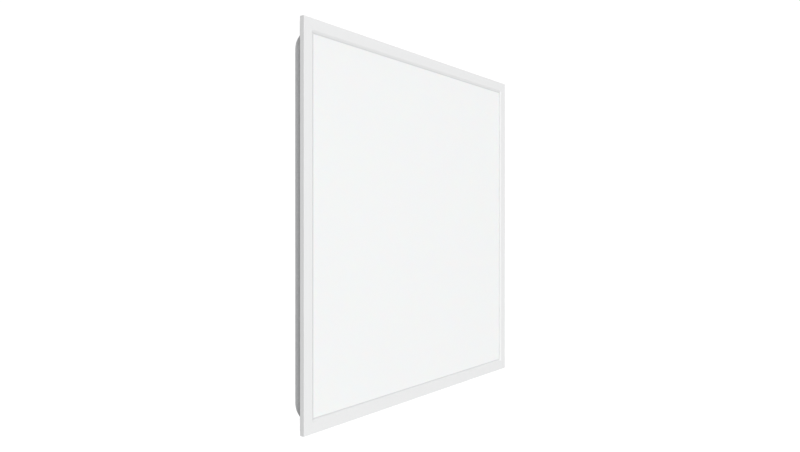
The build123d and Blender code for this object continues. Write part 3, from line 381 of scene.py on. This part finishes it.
def moulded(name, colour, roughness, texture, sheen=0.0):
    """Moulded plastic: spark-eroded texture, flow clouds and slightly polished edges."""
    made = Surface(name, colour, roughness)
    made.rounded(0.4 * MM)
    made.shade(made.noise(35.0), 0.03)
    made.shade(made.noise(2400.0, 2.0), 0.04)
    made.vary_roughness(made.noise(180.0), 0.07)
    made.bump(made.noise(texture, 2.0), 0.03 * MM, 0.5)
    made.bump(made.noise(90.0, 2.0), 0.04 * MM, 0.25)
    lighter = [min(channel * 1.12 + 0.02, 1) for channel in colour]
    made.edges(0.4 * MM, lighter, 0.5, 600.0)
    made.shader.inputs["Coat Weight"].default_value = sheen
    return made.material


def metal(name, colour, roughness, stretch):
    """Bare metal: directional grain with scattered dull marks."""
    made = Surface(name, colour, roughness, 1.0)
    made.rounded(0.2 * MM)
    made.shade(made.noise(150.0, 4.0), 0.10)
    made.shade(made.noise(1100.0, 3.0, stretch), 0.12)
    made.vary_roughness(made.noise(600.0, 4.0, stretch), 0.12)
    made.bump(made.noise(1500.0, 3.0, stretch), 0.012 * MM, 0.5)
    made.edges(0.3 * MM, [min(channel * 1.2, 1) for channel in colour], 0.6, 900.0)
    return made.material


def foam(name, colour):
    """Foam or rubber: open pores and a dusty bloom."""
    made = Surface(name, colour, 0.85)
    made.blend(made.level(made.noise(160.0), 0, 0.5), [channel * 1.5 + 0.02 for channel in colour])
    made.shade(made.cells(1600.0), 0.25)
    made.vary_roughness(made.noise(300.0), 0.08)
    made.bump(made.cells(1600.0), 0.08 * MM, 0.6)
    return made.material


def circuit(name, colour, copper):
    """Solder mask over copper: lighter tracks show through, with a glossy uneven skin."""
    made = Surface(name, colour, 0.3)
    tracks = made.node("ShaderNodeTexBrick", Scale=1.0)
    tracks.inputs["Mortar Size"].default_value = 0.9 * MM
    tracks.inputs["Brick Width"].default_value = 16.0 * MM
    tracks.inputs["Row Height"].default_value = 4.1 * MM
    tracks.inputs["Color1"].default_value = (0, 0, 0, 1)
    tracks.inputs["Color2"].default_value = (0, 0, 0, 1)
    tracks.inputs["Mortar"].default_value = (1, 1, 1, 1)
    turned = made.node("ShaderNodeMapping", Rotation=(math.pi / 2, 0, 0))
    made.link(made.where, turned.inputs["Vector"])
    made.link(turned.outputs["Vector"], tracks.inputs["Vector"])
    made.blend(tracks.outputs["Color"], copper)
    made.bump(tracks.outputs["Color"], 0.03 * MM, 0.4)
    made.shade(made.noise(300.0), 0.05)
    made.vary_roughness(made.noise(220.0), 0.08)
    made.shader.inputs["Coat Weight"].default_value = 0.3
    return made.material


def clear(name, colour, roughness):
    """Clear moulded lens or glass tube with faint waviness."""
    made = Surface(name, colour, roughness)
    made.shader.inputs["Transmission Weight"].default_value = 0.9
    made.shader.inputs["IOR"].default_value = 1.49
    made.shade(made.noise(60.0), 0.03)
    made.vary_roughness(made.noise(120.0), 0.03)
    made.bump(made.noise(90.0, 2.0), 0.03 * MM, 0.2)
    return made.material


def windings(name, colour, gloss, pitch):
    """Enamelled wire: a fine ridge for each turn."""
    made = Surface(name, colour, gloss, 0.6)
    turns = made.node("ShaderNodeTexWave", Scale=pitch, Distortion=0.4, Detail=1.0)
    made.link(made.where, turns.inputs["Vector"])
    made.shade(turns.outputs["Fac"], 0.45)
    made.bump(turns.outputs["Fac"], 0.2 * MM, 0.7)
    made.vary_roughness(made.noise(300.0), 0.08)
    return made.material


def build_materials():
    """One material for each slot of the record."""
    colours = {entry["slot"]: tuple(entry["base_color"][:3]) for entry in frame["record"]["materials"]}
    made = {
        "frame_white": powder_coat("frame_white"),
        "opal_diffuser": opal("opal_diffuser"),
        "seal_grey": seal_strip("seal_grey"),
        "pan_grey": pan_steel("pan_grey"),
        "zinc_steel": zinc("zinc_steel"),
        "lens_clear": clear("lens_clear", colours["lens_clear"], 0.06),
        "fuse_glass": clear("fuse_glass", colours["fuse_glass"], 0.04),
        "board_green": circuit("board_green", colours["board_green"], (0.10, 0.36, 0.16)),
        "board_white": circuit("board_white", colours["board_white"], (0.80, 0.80, 0.76)),
        "copper_wire": windings("copper_wire", colours["copper_wire"], 0.3, 400.0),
        "winding_tape": moulded("winding_tape", colours["winding_tape"], 0.25, 700.0, 0.3),
    }
    for slot, roughness, grain in (
        ("key_metal", 0.5, ROLLED_X),
        ("rivet_alloy", 0.38, ROLLED_Z),
        ("pin_brass", 0.3, ROLLED_Z),
        ("sink_alloy", 0.42, ROLLED_Z),
    ):
        made[slot] = metal(slot, colours[slot], roughness, grain)
    for slot in ("foam", "seal_rubber"):
        made[slot] = foam(slot, colours[slot])
    for slot, roughness, texture, gloss in (
        ("reflector", 0.6, 900.0, 0.0),
        ("led_package", 0.25, 1500.0, 0.3),
        ("connector", 0.32, 1400.0, 0.1),
        ("pin_nylon", 0.45, 1200.0, 0.0),
        ("housing", 0.48, 1500.0, 0.0),
        ("gland_nylon", 0.45, 1300.0, 0.0),
        ("terminal_body", 0.32, 1500.0, 0.15),
        ("button_brown", 0.28, 1500.0, 0.2),
        ("button_blue", 0.28, 1500.0, 0.2),
        ("button_green", 0.28, 1500.0, 0.2),
        ("header_black", 0.4, 1500.0, 0.1),
        ("ferrite", 0.6, 1100.0, 0.0),
        ("capacitor_can", 0.3, 1800.0, 0.2),
        ("film_box", 0.3, 1700.0, 0.2),
        ("transistor", 0.5, 1500.0, 0.0),
    ):
        made[slot] = moulded(slot, colours[slot], roughness, texture, gloss)
    return made


materials = build_materials()
for part in frame["record"]["subparts"]:
    mesh = frame["nodes"][part["node"]].data
    mesh.materials.clear()
    mesh.materials.append(materials[part["material_slot"]])


# ---------------------------------------------------------------- meshes by code
# Vertices closer than this are one, and rows of solids are told apart by this many digits
WELD_DISTANCE = 1e-6
WELD_DIGITS = 6
ROW_DIGITS = 4
ON_AXIS = 1e-7

# Degrees between one screw or rivet of a node and the next
COPY_TURN = 37.0

# Edges sharper than this stay hard, and faces square to an axis are flat
SMOOTH_LIMIT = math.radians(35)
FLAT_LIMIT = 0.99995
SLOTS = {part["node"]: part["material_slot"] for part in frame["record"]["subparts"]}
BODIES = {node: body for body, nodes in frame["record"]["behaviour"]["bodies"].items() for node in nodes}


def solids_of(node_name):
    """The low and high corners of each separate solid in a CAD node, in row order."""
    node = frame["nodes"][node_name]
    spots = []
    for vertex in node.data.vertices:
        spots.append(tuple(round(value, WELD_DIGITS) for value in node.matrix_world @ vertex.co))
    group = {spot: spot for spot in spots}

    def root(spot):
        while group[spot] != spot:
            group[spot] = group[group[spot]]
            spot = group[spot]
        return spot

    for face in node.data.polygons:
        first = root(spots[face.vertices[0]])
        for index in face.vertices[1:]:
            group[root(spots[index])] = first
    solids = {}
    for spot in group:
        solids.setdefault(root(spot), []).append(spot)
    found = []
    for points in solids.values():
        low = Vector([min(point[axis] for point in points) for axis in range(3)])
        high = Vector([max(point[axis] for point in points) for axis in range(3)])
        found.append((low, high))
    return sorted(found, key=lambda pair: (round(pair[0].x, ROW_DIGITS), round(pair[0].z, ROW_DIGITS)))


def loft(rings, hollow=False):
    """A closed solid through rings of points; a hollow one joins its last ring to its first."""
    mesh = bmesh.new()
    loops = [[mesh.verts.new(point) for point in ring] for ring in rings]
    following = loops[1:] + loops[:1] if hollow else loops[1:]
    for first, second in zip(loops, following):
        count = max(len(first), len(second))
        for step in range(count):
            after = (step + 1) % count
            corners = [first[step % len(first)], first[after % len(first)]]
            corners += [second[after % len(second)], second[step % len(second)]]
            unique = list(dict.fromkeys(corners))
            if len(unique) > 2:
                mesh.faces.new(unique)
    for loop in (loops[0], loops[-1]):
        if len(loop) > 2 and not hollow:
            mesh.faces.new(loop)
    bmesh.ops.recalc_face_normals(mesh, faces=mesh.faces)
    return mesh


def lathe(profile, segments=40, hollow=False):
    """A solid of revolution about Y; its profile starts and ends on the axis unless it is hollow."""
    rings = []
    for radius, height in profile:
        if radius < ON_AXIS:
            rings.append([(0, height, 0)])
            continue
        turns = [2 * math.pi * step / segments for step in range(segments)]
        rings.append([(radius * math.cos(turn), height, radius * math.sin(turn)) for turn in turns])
    return loft(rings, hollow)


def box(low, high):
    """A block between two corners."""
    mesh = bmesh.new()
    bmesh.ops.create_cube(mesh, size=1.0)
    for vertex in mesh.verts:
        vertex.co = Vector([(low[axis], high[axis])[vertex.co[axis] > 0] for axis in range(3)])
    return mesh


def stadium(length, width, height, x, z, steps=12):
    """Points around a long rounded slot across Y."""
    radius = width / 2
    reach = length / 2 - radius
    points = []
    for side in (1, -1):
        for step in range(steps + 1):
            turn = math.pi * (step / steps - 0.5)
            along = side * (reach + radius * math.cos(turn))
            points.append((x + along, height, z + side * radius * math.sin(turn)))
    return points


def joined(parts):
    """One mesh out of several, which are freed."""
    whole = bmesh.new()
    for part in parts:
        data = bpy.data.meshes.new("part")
        part.to_mesh(data)
        part.free()
        whole.from_mesh(data)
        bpy.data.meshes.remove(data)
    return whole


def as_object(name, mesh):
    """An object with a mesh that is used up, without the normals carried over from the CAD."""
    data = bpy.data.meshes.new(name)
    mesh.to_mesh(data)
    mesh.free()
    carried = data.attributes.get("custom_normal")
    if carried:
        data.attributes.remove(carried)
    made = bpy.data.objects.new(name, data)
    bpy.context.scene.collection.objects.link(made)
    return made


def carved(body, cutter, operation="DIFFERENCE"):
    """The mesh of a body after a cut with, or down to, the cutter; both are used up."""
    solid = as_object("carve_body", body)
    tool = as_object("carve_tool", cutter)
    step = solid.modifiers.new("carve", "BOOLEAN")
    step.operation = operation
    step.object = tool
    step.solver = "EXACT"
    step.use_self = True
    graph = bpy.context.evaluated_depsgraph_get()
    evaluated = bpy.data.meshes.new_from_object(solid.evaluated_get(graph))
    result = bmesh.new()
    result.from_mesh(evaluated)
    bpy.data.meshes.remove(evaluated)
    for helper in (solid, tool):
        data = helper.data
        bpy.data.objects.remove(helper)
        bpy.data.meshes.remove(data)
    return result


def node_mesh(node_name):
    """A welded copy of a CAD node's mesh."""
    mesh = bmesh.new()
    mesh.from_mesh(frame["nodes"][node_name].data)
    mesh.transform(frame["nodes"][node_name].matrix_world)
    bmesh.ops.remove_doubles(mesh, verts=mesh.verts, dist=WELD_DISTANCE)
    return mesh


def finish(node_name, mesh):
    """Put a detailed mesh in the place of its CAD node, with that node's material and body."""
    made = as_object(node_name + "_detail", mesh)
    made.data.set_sharp_from_angle(angle=SMOOTH_LIMIT)
    for face in made.data.polygons:
        face.use_smooth = max(abs(part) for part in face.normal) < FLAT_LIMIT
    made.data.materials.append(materials[SLOTS[node_name]])
    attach(made, BODIES.get(node_name, "panel"))
    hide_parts(node_name)


def repeat(node_name, template):
    """Replace every solid of a node with a turned copy of a template whose top is at Y 0."""
    copies = []
    for index, (low, high) in enumerate(solids_of(node_name)):
        place = Vector(((low.x + high.x) / 2, high.y, (low.z + high.z) / 2))
        copy = template.copy()
        turn = Matrix.Rotation(math.radians(COPY_TURN * index), 4, "Y")
        copy.transform(Matrix.Translation(place) @ turn)
        copies.append(copy)
    template.free()
    finish(node_name, joined(copies))


def millimetres(points):
    """Points given in millimetres, in the scene's metres."""
    return [tuple(value * MM for value in point) for point in points]


# ---------------------------------------------------------------- screws, rivets and studs
# Outline points are radius and height in millimetres. Height 0 is the piece's highest face, or
# the face that is cut. Cutters run past the faces that they cut by the spill.
SPILL = 1.0 * MM

# Screws: thread depth and pitch, plain neck, pointed end, and the rim of a sunk head
SCREW_THREAD = 0.18 * MM
SCREW_PITCH = 0.6 * MM
SCREW_NECK = 0.1 * MM
SCREW_POINT = 0.8 * MM
SCREW_TIP = 0.1 * MM
SCREW_TIP_SHARE = 0.55
SUNK_RIM_WIDTH = 0.1 * MM
SUNK_RIM_HEIGHT = 0.12 * MM

# Cross recess, in shares of the head's radius and height
RECESS_REACH = 0.52
RECESS_WIDTH = 0.24
RECESS_DEPTH = 0.62

# Crown of a pan head, in shares of the head's radius and height
CROWN = [(0, 0), (0.45, -0.04), (0.75, -0.16), (0.93, -0.38), (1, -0.70), (1, -0.95), (0.97, -1)]

# Blind rivets: a rolled tail around the broken mandrel, a shank and a domed head
STRIP_RIVET = [
    (0, -0.50), (0.70, -0.50), (0.80, -0.12), (1.20, 0), (1.90, -0.22), (2.32, -0.70), (2.40, -1.15),
    (2.28, -1.65), (2.40, -2.00), (2.40, -2.20), (1.60, -2.20), (1.60, -3.90), (3.10, -3.90),
    (3.10, -4.25), (2.60, -4.60), (1.55, -4.90), (0.75, -4.88), (0.70, -4.55), (0, -4.55),
]

# Pivot rivets: a crown with a peened dimple, a shoulder in the clip and a spread tail
CLIP_RIVET = [
    (0, -0.40), (0.80, -0.36), (1.15, -0.05), (1.50, 0), (2.60, -0.08), (3.50, -0.32), (3.95, -0.75),
    (4.00, -1.05), (3.90, -1.20), (2.50, -1.20), (2.50, -3.00), (2.00, -3.00), (2.00, -3.70),
    (3.30, -3.70), (3.50, -3.95), (3.45, -4.40), (2.80, -4.70), (0, -4.70),
]

# Push pins: a barbed tail, a shank in the reflector and a domed head
REFLECTOR_PIN = [
    (0, 0), (0.8, 0), (1.25, -0.35), (2.60, -1.85), (2.65, -2.00), (1.95, -3.00), (1.95, -5.10),
    (4.50, -5.10), (4.50, -5.35), (4.20, -5.90), (3.60, -6.30), (0, -6.30),
]
PIN_SPLIT_WIDTH = 0.9 * MM
PIN_SPLIT_DEPTH = 3.6 * MM
PIN_SPLIT_REACH = 4.0 * MM

# Press-in nuts: a collar in the sheet, a wider body under it, and each turn of the threaded bore
HANGING_NUT = [
    (2.05, 0), (2.85, 0), (3.00, -0.12), (3.00, -0.70), (3.70, -0.70), (3.70, -4.30), (3.55, -4.50),
    (1.95, -4.50),
]
NUT_TURN = [(1.95, 0), (1.65, 0.25), (1.65, 0.45), (1.95, 0.68)]
NUT_THREAD_LOW = -4.30
NUT_PITCH = 0.7
NUT_TURNS = 5

# Earth stud: its collar is this many times as wide as its thread, and its tip is plain
STUD_COLLAR_SHARE = 1.5
STUD_CHAMFER = 0.5 * MM
STUD_LEAD = 0.3 * MM
STUD_THREAD_LOW = 0.9 * MM
STUD_THREAD = 0.3 * MM
STUD_PITCH = 0.7 * MM

# Earth nut: a limit passes a face that it must not shave by the touch
EARTH_WASHER = 0.8 * MM
EARTH_NUT_SIDES = 64
TOUCH = 0.01 * MM

# Safety lug: the level of its foot's face, and its welds measured from its low end
LUG_SHEET = 1.5 * MM
LUG_WELDS = (9.0 * MM, 18.0 * MM)
WELD_DIMPLE = [(0, 1.0), (2.3, 1.0), (2.2, 0.02), (1.6, -0.22), (0.9, -0.34), (0, -0.38)]


def cross_cutter(reach, width, top, bottom):
    """A cross-recess cutter between two heights, whose arms get shorter and thinner downward."""
    bars = []
    for turn in (0, math.pi / 2):
        ends = []
        for height, arm_share, width_share in ((top, 1.0, 1.0), (bottom, 0.45, 0.78)):
            x = reach * arm_share
            z = width * width_share / 2
            ends.append([(-x, height, -z), (x, height, -z), (x, height, z), (-x, height, z)])
        bar = loft(ends)
        bar.transform(Matrix.Rotation(turn, 4, "Y"))
        bars.append(bar)
    return joined(bars)


def ridged(radius, depth, start, end, pitch):
    """Profile points of a thread-like shank from one height down to another."""
    root = radius - depth
    points = []
    turns = max(int((start - end) / pitch), 1)
    step = (start - end) / turns
    for turn in range(turns):
        top = start - turn * step
        for place, share in ((root, 0.1), (radius, 0.4), (radius, 0.6), (root, 0.9)):
            points.append((place, top - share * step))
    return points


def add_screws(node_name, head_height, shank_radius, sunk):
    """Replace the plain screws of a node with cross-recess ones of the same size."""
    low, high = solids_of(node_name)[0]
    length = high.y - low.y
    radius = (high.x - low.x) / 2
    if sunk:
        head = [(0, 0), (radius - SUNK_RIM_WIDTH, 0), (radius, -SUNK_RIM_HEIGHT)]
    else:
        head = [(radius * across, head_height * down) for across, down in CROWN]
    head.append((shank_radius, -head_height))
    shank_top = -head_height - SCREW_NECK
    shank = ridged(shank_radius, SCREW_THREAD, shank_top, -length + SCREW_POINT, SCREW_PITCH)
    tip = [(SCREW_TIP_SHARE * shank_radius, -length + SCREW_TIP), (0, -length)]
    recess_floor = -RECESS_DEPTH * head_height
    cutter = cross_cutter(RECESS_REACH * radius, RECESS_WIDTH * radius, SPILL, recess_floor)
    repeat(node_name, carved(lathe(head + shank + tip), cutter))


def add_reflector_pins():
    """Push pins whose barbed tails are split so that they can close."""
    low = (-PIN_SPLIT_WIDTH / 2, -PIN_SPLIT_DEPTH, -PIN_SPLIT_REACH)
    high = (PIN_SPLIT_WIDTH / 2, SPILL, PIN_SPLIT_REACH)
    repeat("reflector_pins", carved(lathe(millimetres(REFLECTOR_PIN)), box(low, high)))


def add_hanging_nuts():
    """Press-in nuts whose bore has thread turns from the bottom up."""
    profile = list(HANGING_NUT)
    for turn in range(NUT_TURNS):
        low = NUT_THREAD_LOW + turn * NUT_PITCH
        profile += [(radius, low + rise) for radius, rise in NUT_TURN]
    repeat("hanging_nuts", lathe(millimetres(profile), hollow=True))


def add_earth_stud():
    """A threaded weld stud with a chamfered tip and a weld collar."""
    low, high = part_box("earth_stud")
    collar = (high.x - low.x) / 2
    radius = collar / STUD_COLLAR_SHARE
    length = high.y - low.y
    profile = [(0, 0), (radius - STUD_CHAMFER, 0)]
    profile += ridged(radius, STUD_THREAD, -STUD_LEAD, STUD_THREAD_LOW - length, STUD_PITCH)
    profile += [(radius, 0.7 * MM - length), (collar - 0.3 * MM, 0.6 * MM - length)]
    profile += [(collar, 0.3 * MM - length), (collar, -length), (0, -length)]
    repeat("earth_stud", lathe(profile))


def add_earth_nut():
    """A hexagon nut with chamfered corners on its washer."""
    low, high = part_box("earth_nut")
    middle = Vector(((low.x + high.x) / 2, 0, (low.z + high.z) / 2))
    seat = low.y + EARTH_WASHER
    limit = [
        (0, low.y - SPILL), (6.0 * MM, low.y - SPILL), (6.0 * MM, seat - TOUCH), (3.60 * MM, seat + TOUCH),
        (4.10 * MM, seat + 0.40 * MM), (4.10 * MM, high.y - 0.45 * MM), (3.40 * MM, high.y + TOUCH),
        (3.40 * MM, high.y + SPILL), (0, high.y + SPILL),
    ]
    bound = lathe(limit, EARTH_NUT_SIDES)
    bound.transform(Matrix.Translation(middle))
    finish("earth_nut", carved(node_mesh("earth_nut"), bound, "INTERSECT"))


def add_safety_lug():
    """The lug with two resistance-weld dimples on its foot."""
    low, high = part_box("safety_lug")
    middle = (low.z + high.z) / 2
    cuts = []
    for reach in LUG_WELDS:
        dimple = lathe(millimetres(WELD_DIMPLE))
        dimple.transform(Matrix.Translation((low.x + reach, LUG_SHEET, middle)))
        cuts.append(dimple)
    finish("safety_lug", carved(node_mesh("safety_lug"), joined(cuts)))


# ---------------------------------------------------------------- pan, gland, driver and terminal
# Beads of the pan, in millimetres: their rows and size, and each step of their shoulder as the
# growth of its outline and its level
BEAD_ROWS = (-180, -90, 90, 180)
BEAD_LENGTH = 400
BEAD_WIDTH = 10
BEAD_SHOULDER = ((4.4, 0.5), (4.0, 0.0), (2.6, -0.12), (1.5, -0.40), (0.7, -0.68), (0.0, -0.79))

# A shallow dish in the pan around each hanging nut
NUT_SEAT = [(0, 0.5), (8.2, 0.5), (8.0, 0.0), (7.2, -0.10), (6.4, -0.26), (5.6, -0.30), (0, -0.30)]

# Gland nut: grooves along its axis, with the radius of their floor and a radius past its dome
GLAND_NUT_SIDES = 72
GRIP_GROOVES = 24
GROOVE_WIDTH = 0.7 * MM
GROOVE_START, GROOVE_END = 2.6 * MM, 7.4 * MM
GROOVE_FLOOR, GROOVE_PAST = 9.1 * MM, 10.5 * MM

# Driver cover: a mould line and thumb grips, by their rise above its low edge
MOULD_LINE = (4.0 * MM, 4.5 * MM)
MOULD_LINE_DEPTH = 0.3 * MM
MOULD_LINE_START = 5.0 * MM
THUMB_GRIPS = 7
THUMB_GRIP_START = 30.0 * MM
THUMB_GRIP_PITCH = 2.4 * MM
THUMB_GRIP_WIDTH = 1.1 * MM
THUMB_GRIP_DEPTH = 0.5 * MM
THUMB_GRIP_RISE = (8 * MM, 17 * MM)

# Terminal cover: a sunk panel and the ribs of its tab, measured from its low end
LID_PANEL = (6.0 * MM, 30.0 * MM)
LID_PANEL_INSET = 4.0 * MM
LID_PANEL_DEPTH = 0.3 * MM
LID_RIBS = 4
LID_RIB_START = 1.0 * MM
LID_RIB_PITCH = 1.1 * MM
LID_RIB_WIDTH = 0.5 * MM
LID_RIB_DEPTH = 0.45 * MM
LID_RIB_REACH = 5.5 * MM

# Mains terminal: one pole for each release button
RELEASE_BUTTONS = ("release_button_live", "release_button_neutral", "release_button_earth")
WIRE_FUNNEL = [(0, -1), (3.4, -1), (3.2, 0), (2.2, 1.9), (2.05, 2.0), (0, 2.0)]
TEST_HOLE_INSET = 4.0 * MM
TEST_HOLE_DEPTH = 3.0 * MM
TEST_HOLE_SIDE = 1.8 * MM
POLE_WALLS = (-5.0 * MM, 5.0 * MM)
POLE_GROOVE_DEPTH = 0.7 * MM
POLE_GROOVE_HALF = 0.3 * MM
POLE_GROOVE_RISE = 2.0 * MM

# Windings of the choke: where each starts and how far it runs, in degrees around the ring
COIL_STARTS = (25.0, 205.0)
COIL_SPREAD = 130.0
COIL_TURNS = 13
TURN_STEPS = 24
WIRE_SIDES = 8
WIRE_FILL = 0.96
RING_THICKNESS = 4.4 * MM
TURN_SQUARENESS = 1.25


def add_back_pan():
    """The pan with soft-shouldered beads and a shallow seat pressed around each hanging nut."""
    cutters = []
    for row in BEAD_ROWS:
        rings = []
        for grow, level in BEAD_SHOULDER:
            length = (BEAD_LENGTH + grow) * MM
            width = (BEAD_WIDTH + grow) * MM
            rings.append(stadium(length, width, level * MM, 0, row * MM))
        cutters.append(loft(rings))
    for low, high in solids_of("hanging_nuts"):
        cutter = lathe(millimetres(NUT_SEAT))
        cutter.transform(Matrix.Translation(((low.x + high.x) / 2, 0, (low.z + high.z) / 2)))
        cutters.append(cutter)
    finish("back_pan", carved(node_mesh("back_pan"), joined(cutters)))


def turned_to(axis_point, mesh):
    """Lay a mesh that was made along Y so that its axis runs along X through a point."""
    mesh.transform(Matrix.Translation(axis_point) @ Matrix.Rotation(-math.pi / 2, 4, "Z"))
    return mesh


def add_gland_nut():
    """The sealing nut with chamfered hexagon corners and grip grooves around its dome."""
    low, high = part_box("gland_nut")
    centre = Vector((low.x, (low.y + high.y) / 2, (low.z + high.z) / 2))
    length = (high.x - low.x) / MM
    limit = [
        (0, -1), (10.4, -1), (10.4, 0), (11.1, 0.9), (11.1, length - 0.9), (10.2, length),
        (10.2, length + 1), (0, length + 1),
    ]
    bound = turned_to(centre, lathe(millimetres(limit), GLAND_NUT_SIDES))
    body = carved(node_mesh("gland_nut"), bound, "INTERSECT")
    half = GROOVE_WIDTH / 2
    grooves = []
    for step in range(GRIP_GROOVES):
        groove = box((-half, GROOVE_START, GROOVE_FLOOR), (half, GROOVE_END, GROOVE_PAST))
        groove.transform(Matrix.Rotation(2 * math.pi * (step + 0.5) / GRIP_GROOVES, 4, "Y"))
        grooves.append(turned_to(centre, groove))
    finish("gland_nut", carved(body, joined(grooves)))


def cut_into(side, depth):
    """The low and high coordinates of a cut into a side that faces away from the origin."""
    return sorted((side - math.copysign(depth, side), side + math.copysign(SPILL, side)))


def add_driver_cover():
    """The driver's cover with a mould line around its skirt and thumb grips on its long sides."""
    low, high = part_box("driver_cover")
    line_low, line_high = [low.y + rise for rise in MOULD_LINE]
    start = low.x + MOULD_LINE_START
    cuts = []
    for side in (high.z, low.z):
        near, far = cut_into(side, MOULD_LINE_DEPTH)
        cuts.append(box((start, line_low, near), (high.x + SPILL, line_high, far)))
    end_low = (high.x - MOULD_LINE_DEPTH, line_low, low.z + SPILL)
    cuts.append(box(end_low, (high.x + SPILL, line_high, high.z - SPILL)))
    grip_low, grip_high = [low.y + rise for rise in THUMB_GRIP_RISE]
    for side in (high.z, low.z):
        near, far = cut_into(side, THUMB_GRIP_DEPTH)
        for step in range(THUMB_GRIPS):
            left = high.x - THUMB_GRIP_START + THUMB_GRIP_PITCH * step
            cuts.append(box((left, grip_low, near), (left + THUMB_GRIP_WIDTH, grip_high, far)))
    finish("driver_cover", carved(node_mesh("driver_cover"), joined(cuts)))


def add_terminal_cover():
    """The lid with a framed top and grip ribs on its lifting tab."""
    low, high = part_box("terminal_cover")
    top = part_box("driver_cover")[1].y
    panel_left, panel_right = [low.x + reach for reach in LID_PANEL]
    panel_low = (panel_left, top - LID_PANEL_DEPTH, low.z + LID_PANEL_INSET)
    cuts = [box(panel_low, (panel_right, top + SPILL, high.z - LID_PANEL_INSET))]
    for step in range(LID_RIBS):
        left = low.x + LID_RIB_START + LID_RIB_PITCH * step
        rib_low = (left, top - LID_RIB_DEPTH, -LID_RIB_REACH)
        cuts.append(box(rib_low, (left + LID_RIB_WIDTH, top + SPILL, LID_RIB_REACH)))
    finish("terminal_cover", carved(node_mesh("terminal_cover"), joined(cuts)))


def add_mains_terminal():
    """The terminal block with wire funnels, grooves between its poles and test holes."""
    low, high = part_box("mains_terminal")
    seal_low, seal_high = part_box("gland_seal")
    entry = (seal_low.y + seal_high.y) / 2
    cuts = []
    for button in RELEASE_BUTTONS:
        button_low, button_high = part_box(button)
        pole = (button_low.z + button_high.z) / 2
        cuts.append(turned_to((low.x, entry, pole), lathe(millimetres(WIRE_FUNNEL))))
        hole = (low.x + TEST_HOLE_INSET, high.y - TEST_HOLE_DEPTH, pole - TEST_HOLE_SIDE / 2)
        cuts.append(box(hole, (hole[0] + TEST_HOLE_SIDE, high.y + SPILL, pole + TEST_HOLE_SIDE / 2)))
    for wall in POLE_WALLS:
        near = wall - POLE_GROOVE_HALF
        far = wall + POLE_GROOVE_HALF
        front = (low.x - SPILL, low.y + POLE_GROOVE_RISE, near)
        cuts.append(box(front, (low.x + POLE_GROOVE_DEPTH, high.y + SPILL, far)))
        top = (low.x - SPILL, high.y - POLE_GROOVE_DEPTH, near)
        cuts.append(box(top, (high.x + SPILL, high.y + SPILL, far)))
    finish("mains_terminal", carved(node_mesh("mains_terminal"), joined(cuts)))


def squared(value, larger, size):
    """The place along a squared turn, from a sine or cosine and the larger of the two."""
    return max(-1, min(1, TURN_SQUARENESS * value / larger)) * size


def add_choke_windings():
    """Both windings of the choke as turns of enamelled wire around its ring core."""
    core_low, core_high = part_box("choke_core")
    coil_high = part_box("choke_windings")[1]
    centre = (core_low + core_high) / 2
    wire = (coil_high.y - core_high.y) / 2 * WIRE_FILL
    ring_radius = (core_high.x - core_low.x) / 2 - RING_THICKNESS / 2
    half_width = RING_THICKNESS / 2 + wire
    half_height = (core_high.y - core_low.y) / 2 + wire
    up = Vector((0, 1, 0))
    coils = []
    for start in COIL_STARTS:
        rings = []
        for step in range(COIL_TURNS * TURN_STEPS + 1):
            share = step / (COIL_TURNS * TURN_STEPS)
            around = math.radians(start + COIL_SPREAD * share)
            radial = Vector((math.cos(around), 0, math.sin(around)))
            across = math.cos(2 * math.pi * step / TURN_STEPS)
            along = math.sin(2 * math.pi * step / TURN_STEPS)
            larger = max(abs(across), abs(along))
            place = radial * (ring_radius + squared(across, larger, half_width))
            middle = centre + place + up * squared(along, larger, half_height)
            outward = (radial * across + up * along).normalized()
            sideways = radial.cross(up)
            ring = []
            for side in range(WIRE_SIDES):
                turn = 2 * math.pi * side / WIRE_SIDES
                ring.append(middle + wire * (outward * math.cos(turn) + sideways * math.sin(turn)))
            rings.append(ring)
        coils.append(loft(rings))
    finish("choke_windings", joined(coils))


# ---------------------------------------------------------------- the detailed pieces, in turn
add_screws("pan_screws", 1.9 * MM, 1.5 * MM, False)
add_screws("driver_screws", 2.0 * MM, 1.5 * MM, False)
add_screws("cover_screws", 1.3 * MM, 1.25 * MM, True)
repeat("strip_rivets", lathe(millimetres(STRIP_RIVET)))
repeat("clip_rivets", lathe(millimetres(CLIP_RIVET)))
add_reflector_pins()
add_hanging_nuts()
add_earth_stud()
add_earth_nut()
add_safety_lug()
add_back_pan()
add_gland_nut()
add_driver_cover()
add_terminal_cover()
add_mains_terminal()
add_choke_windings()
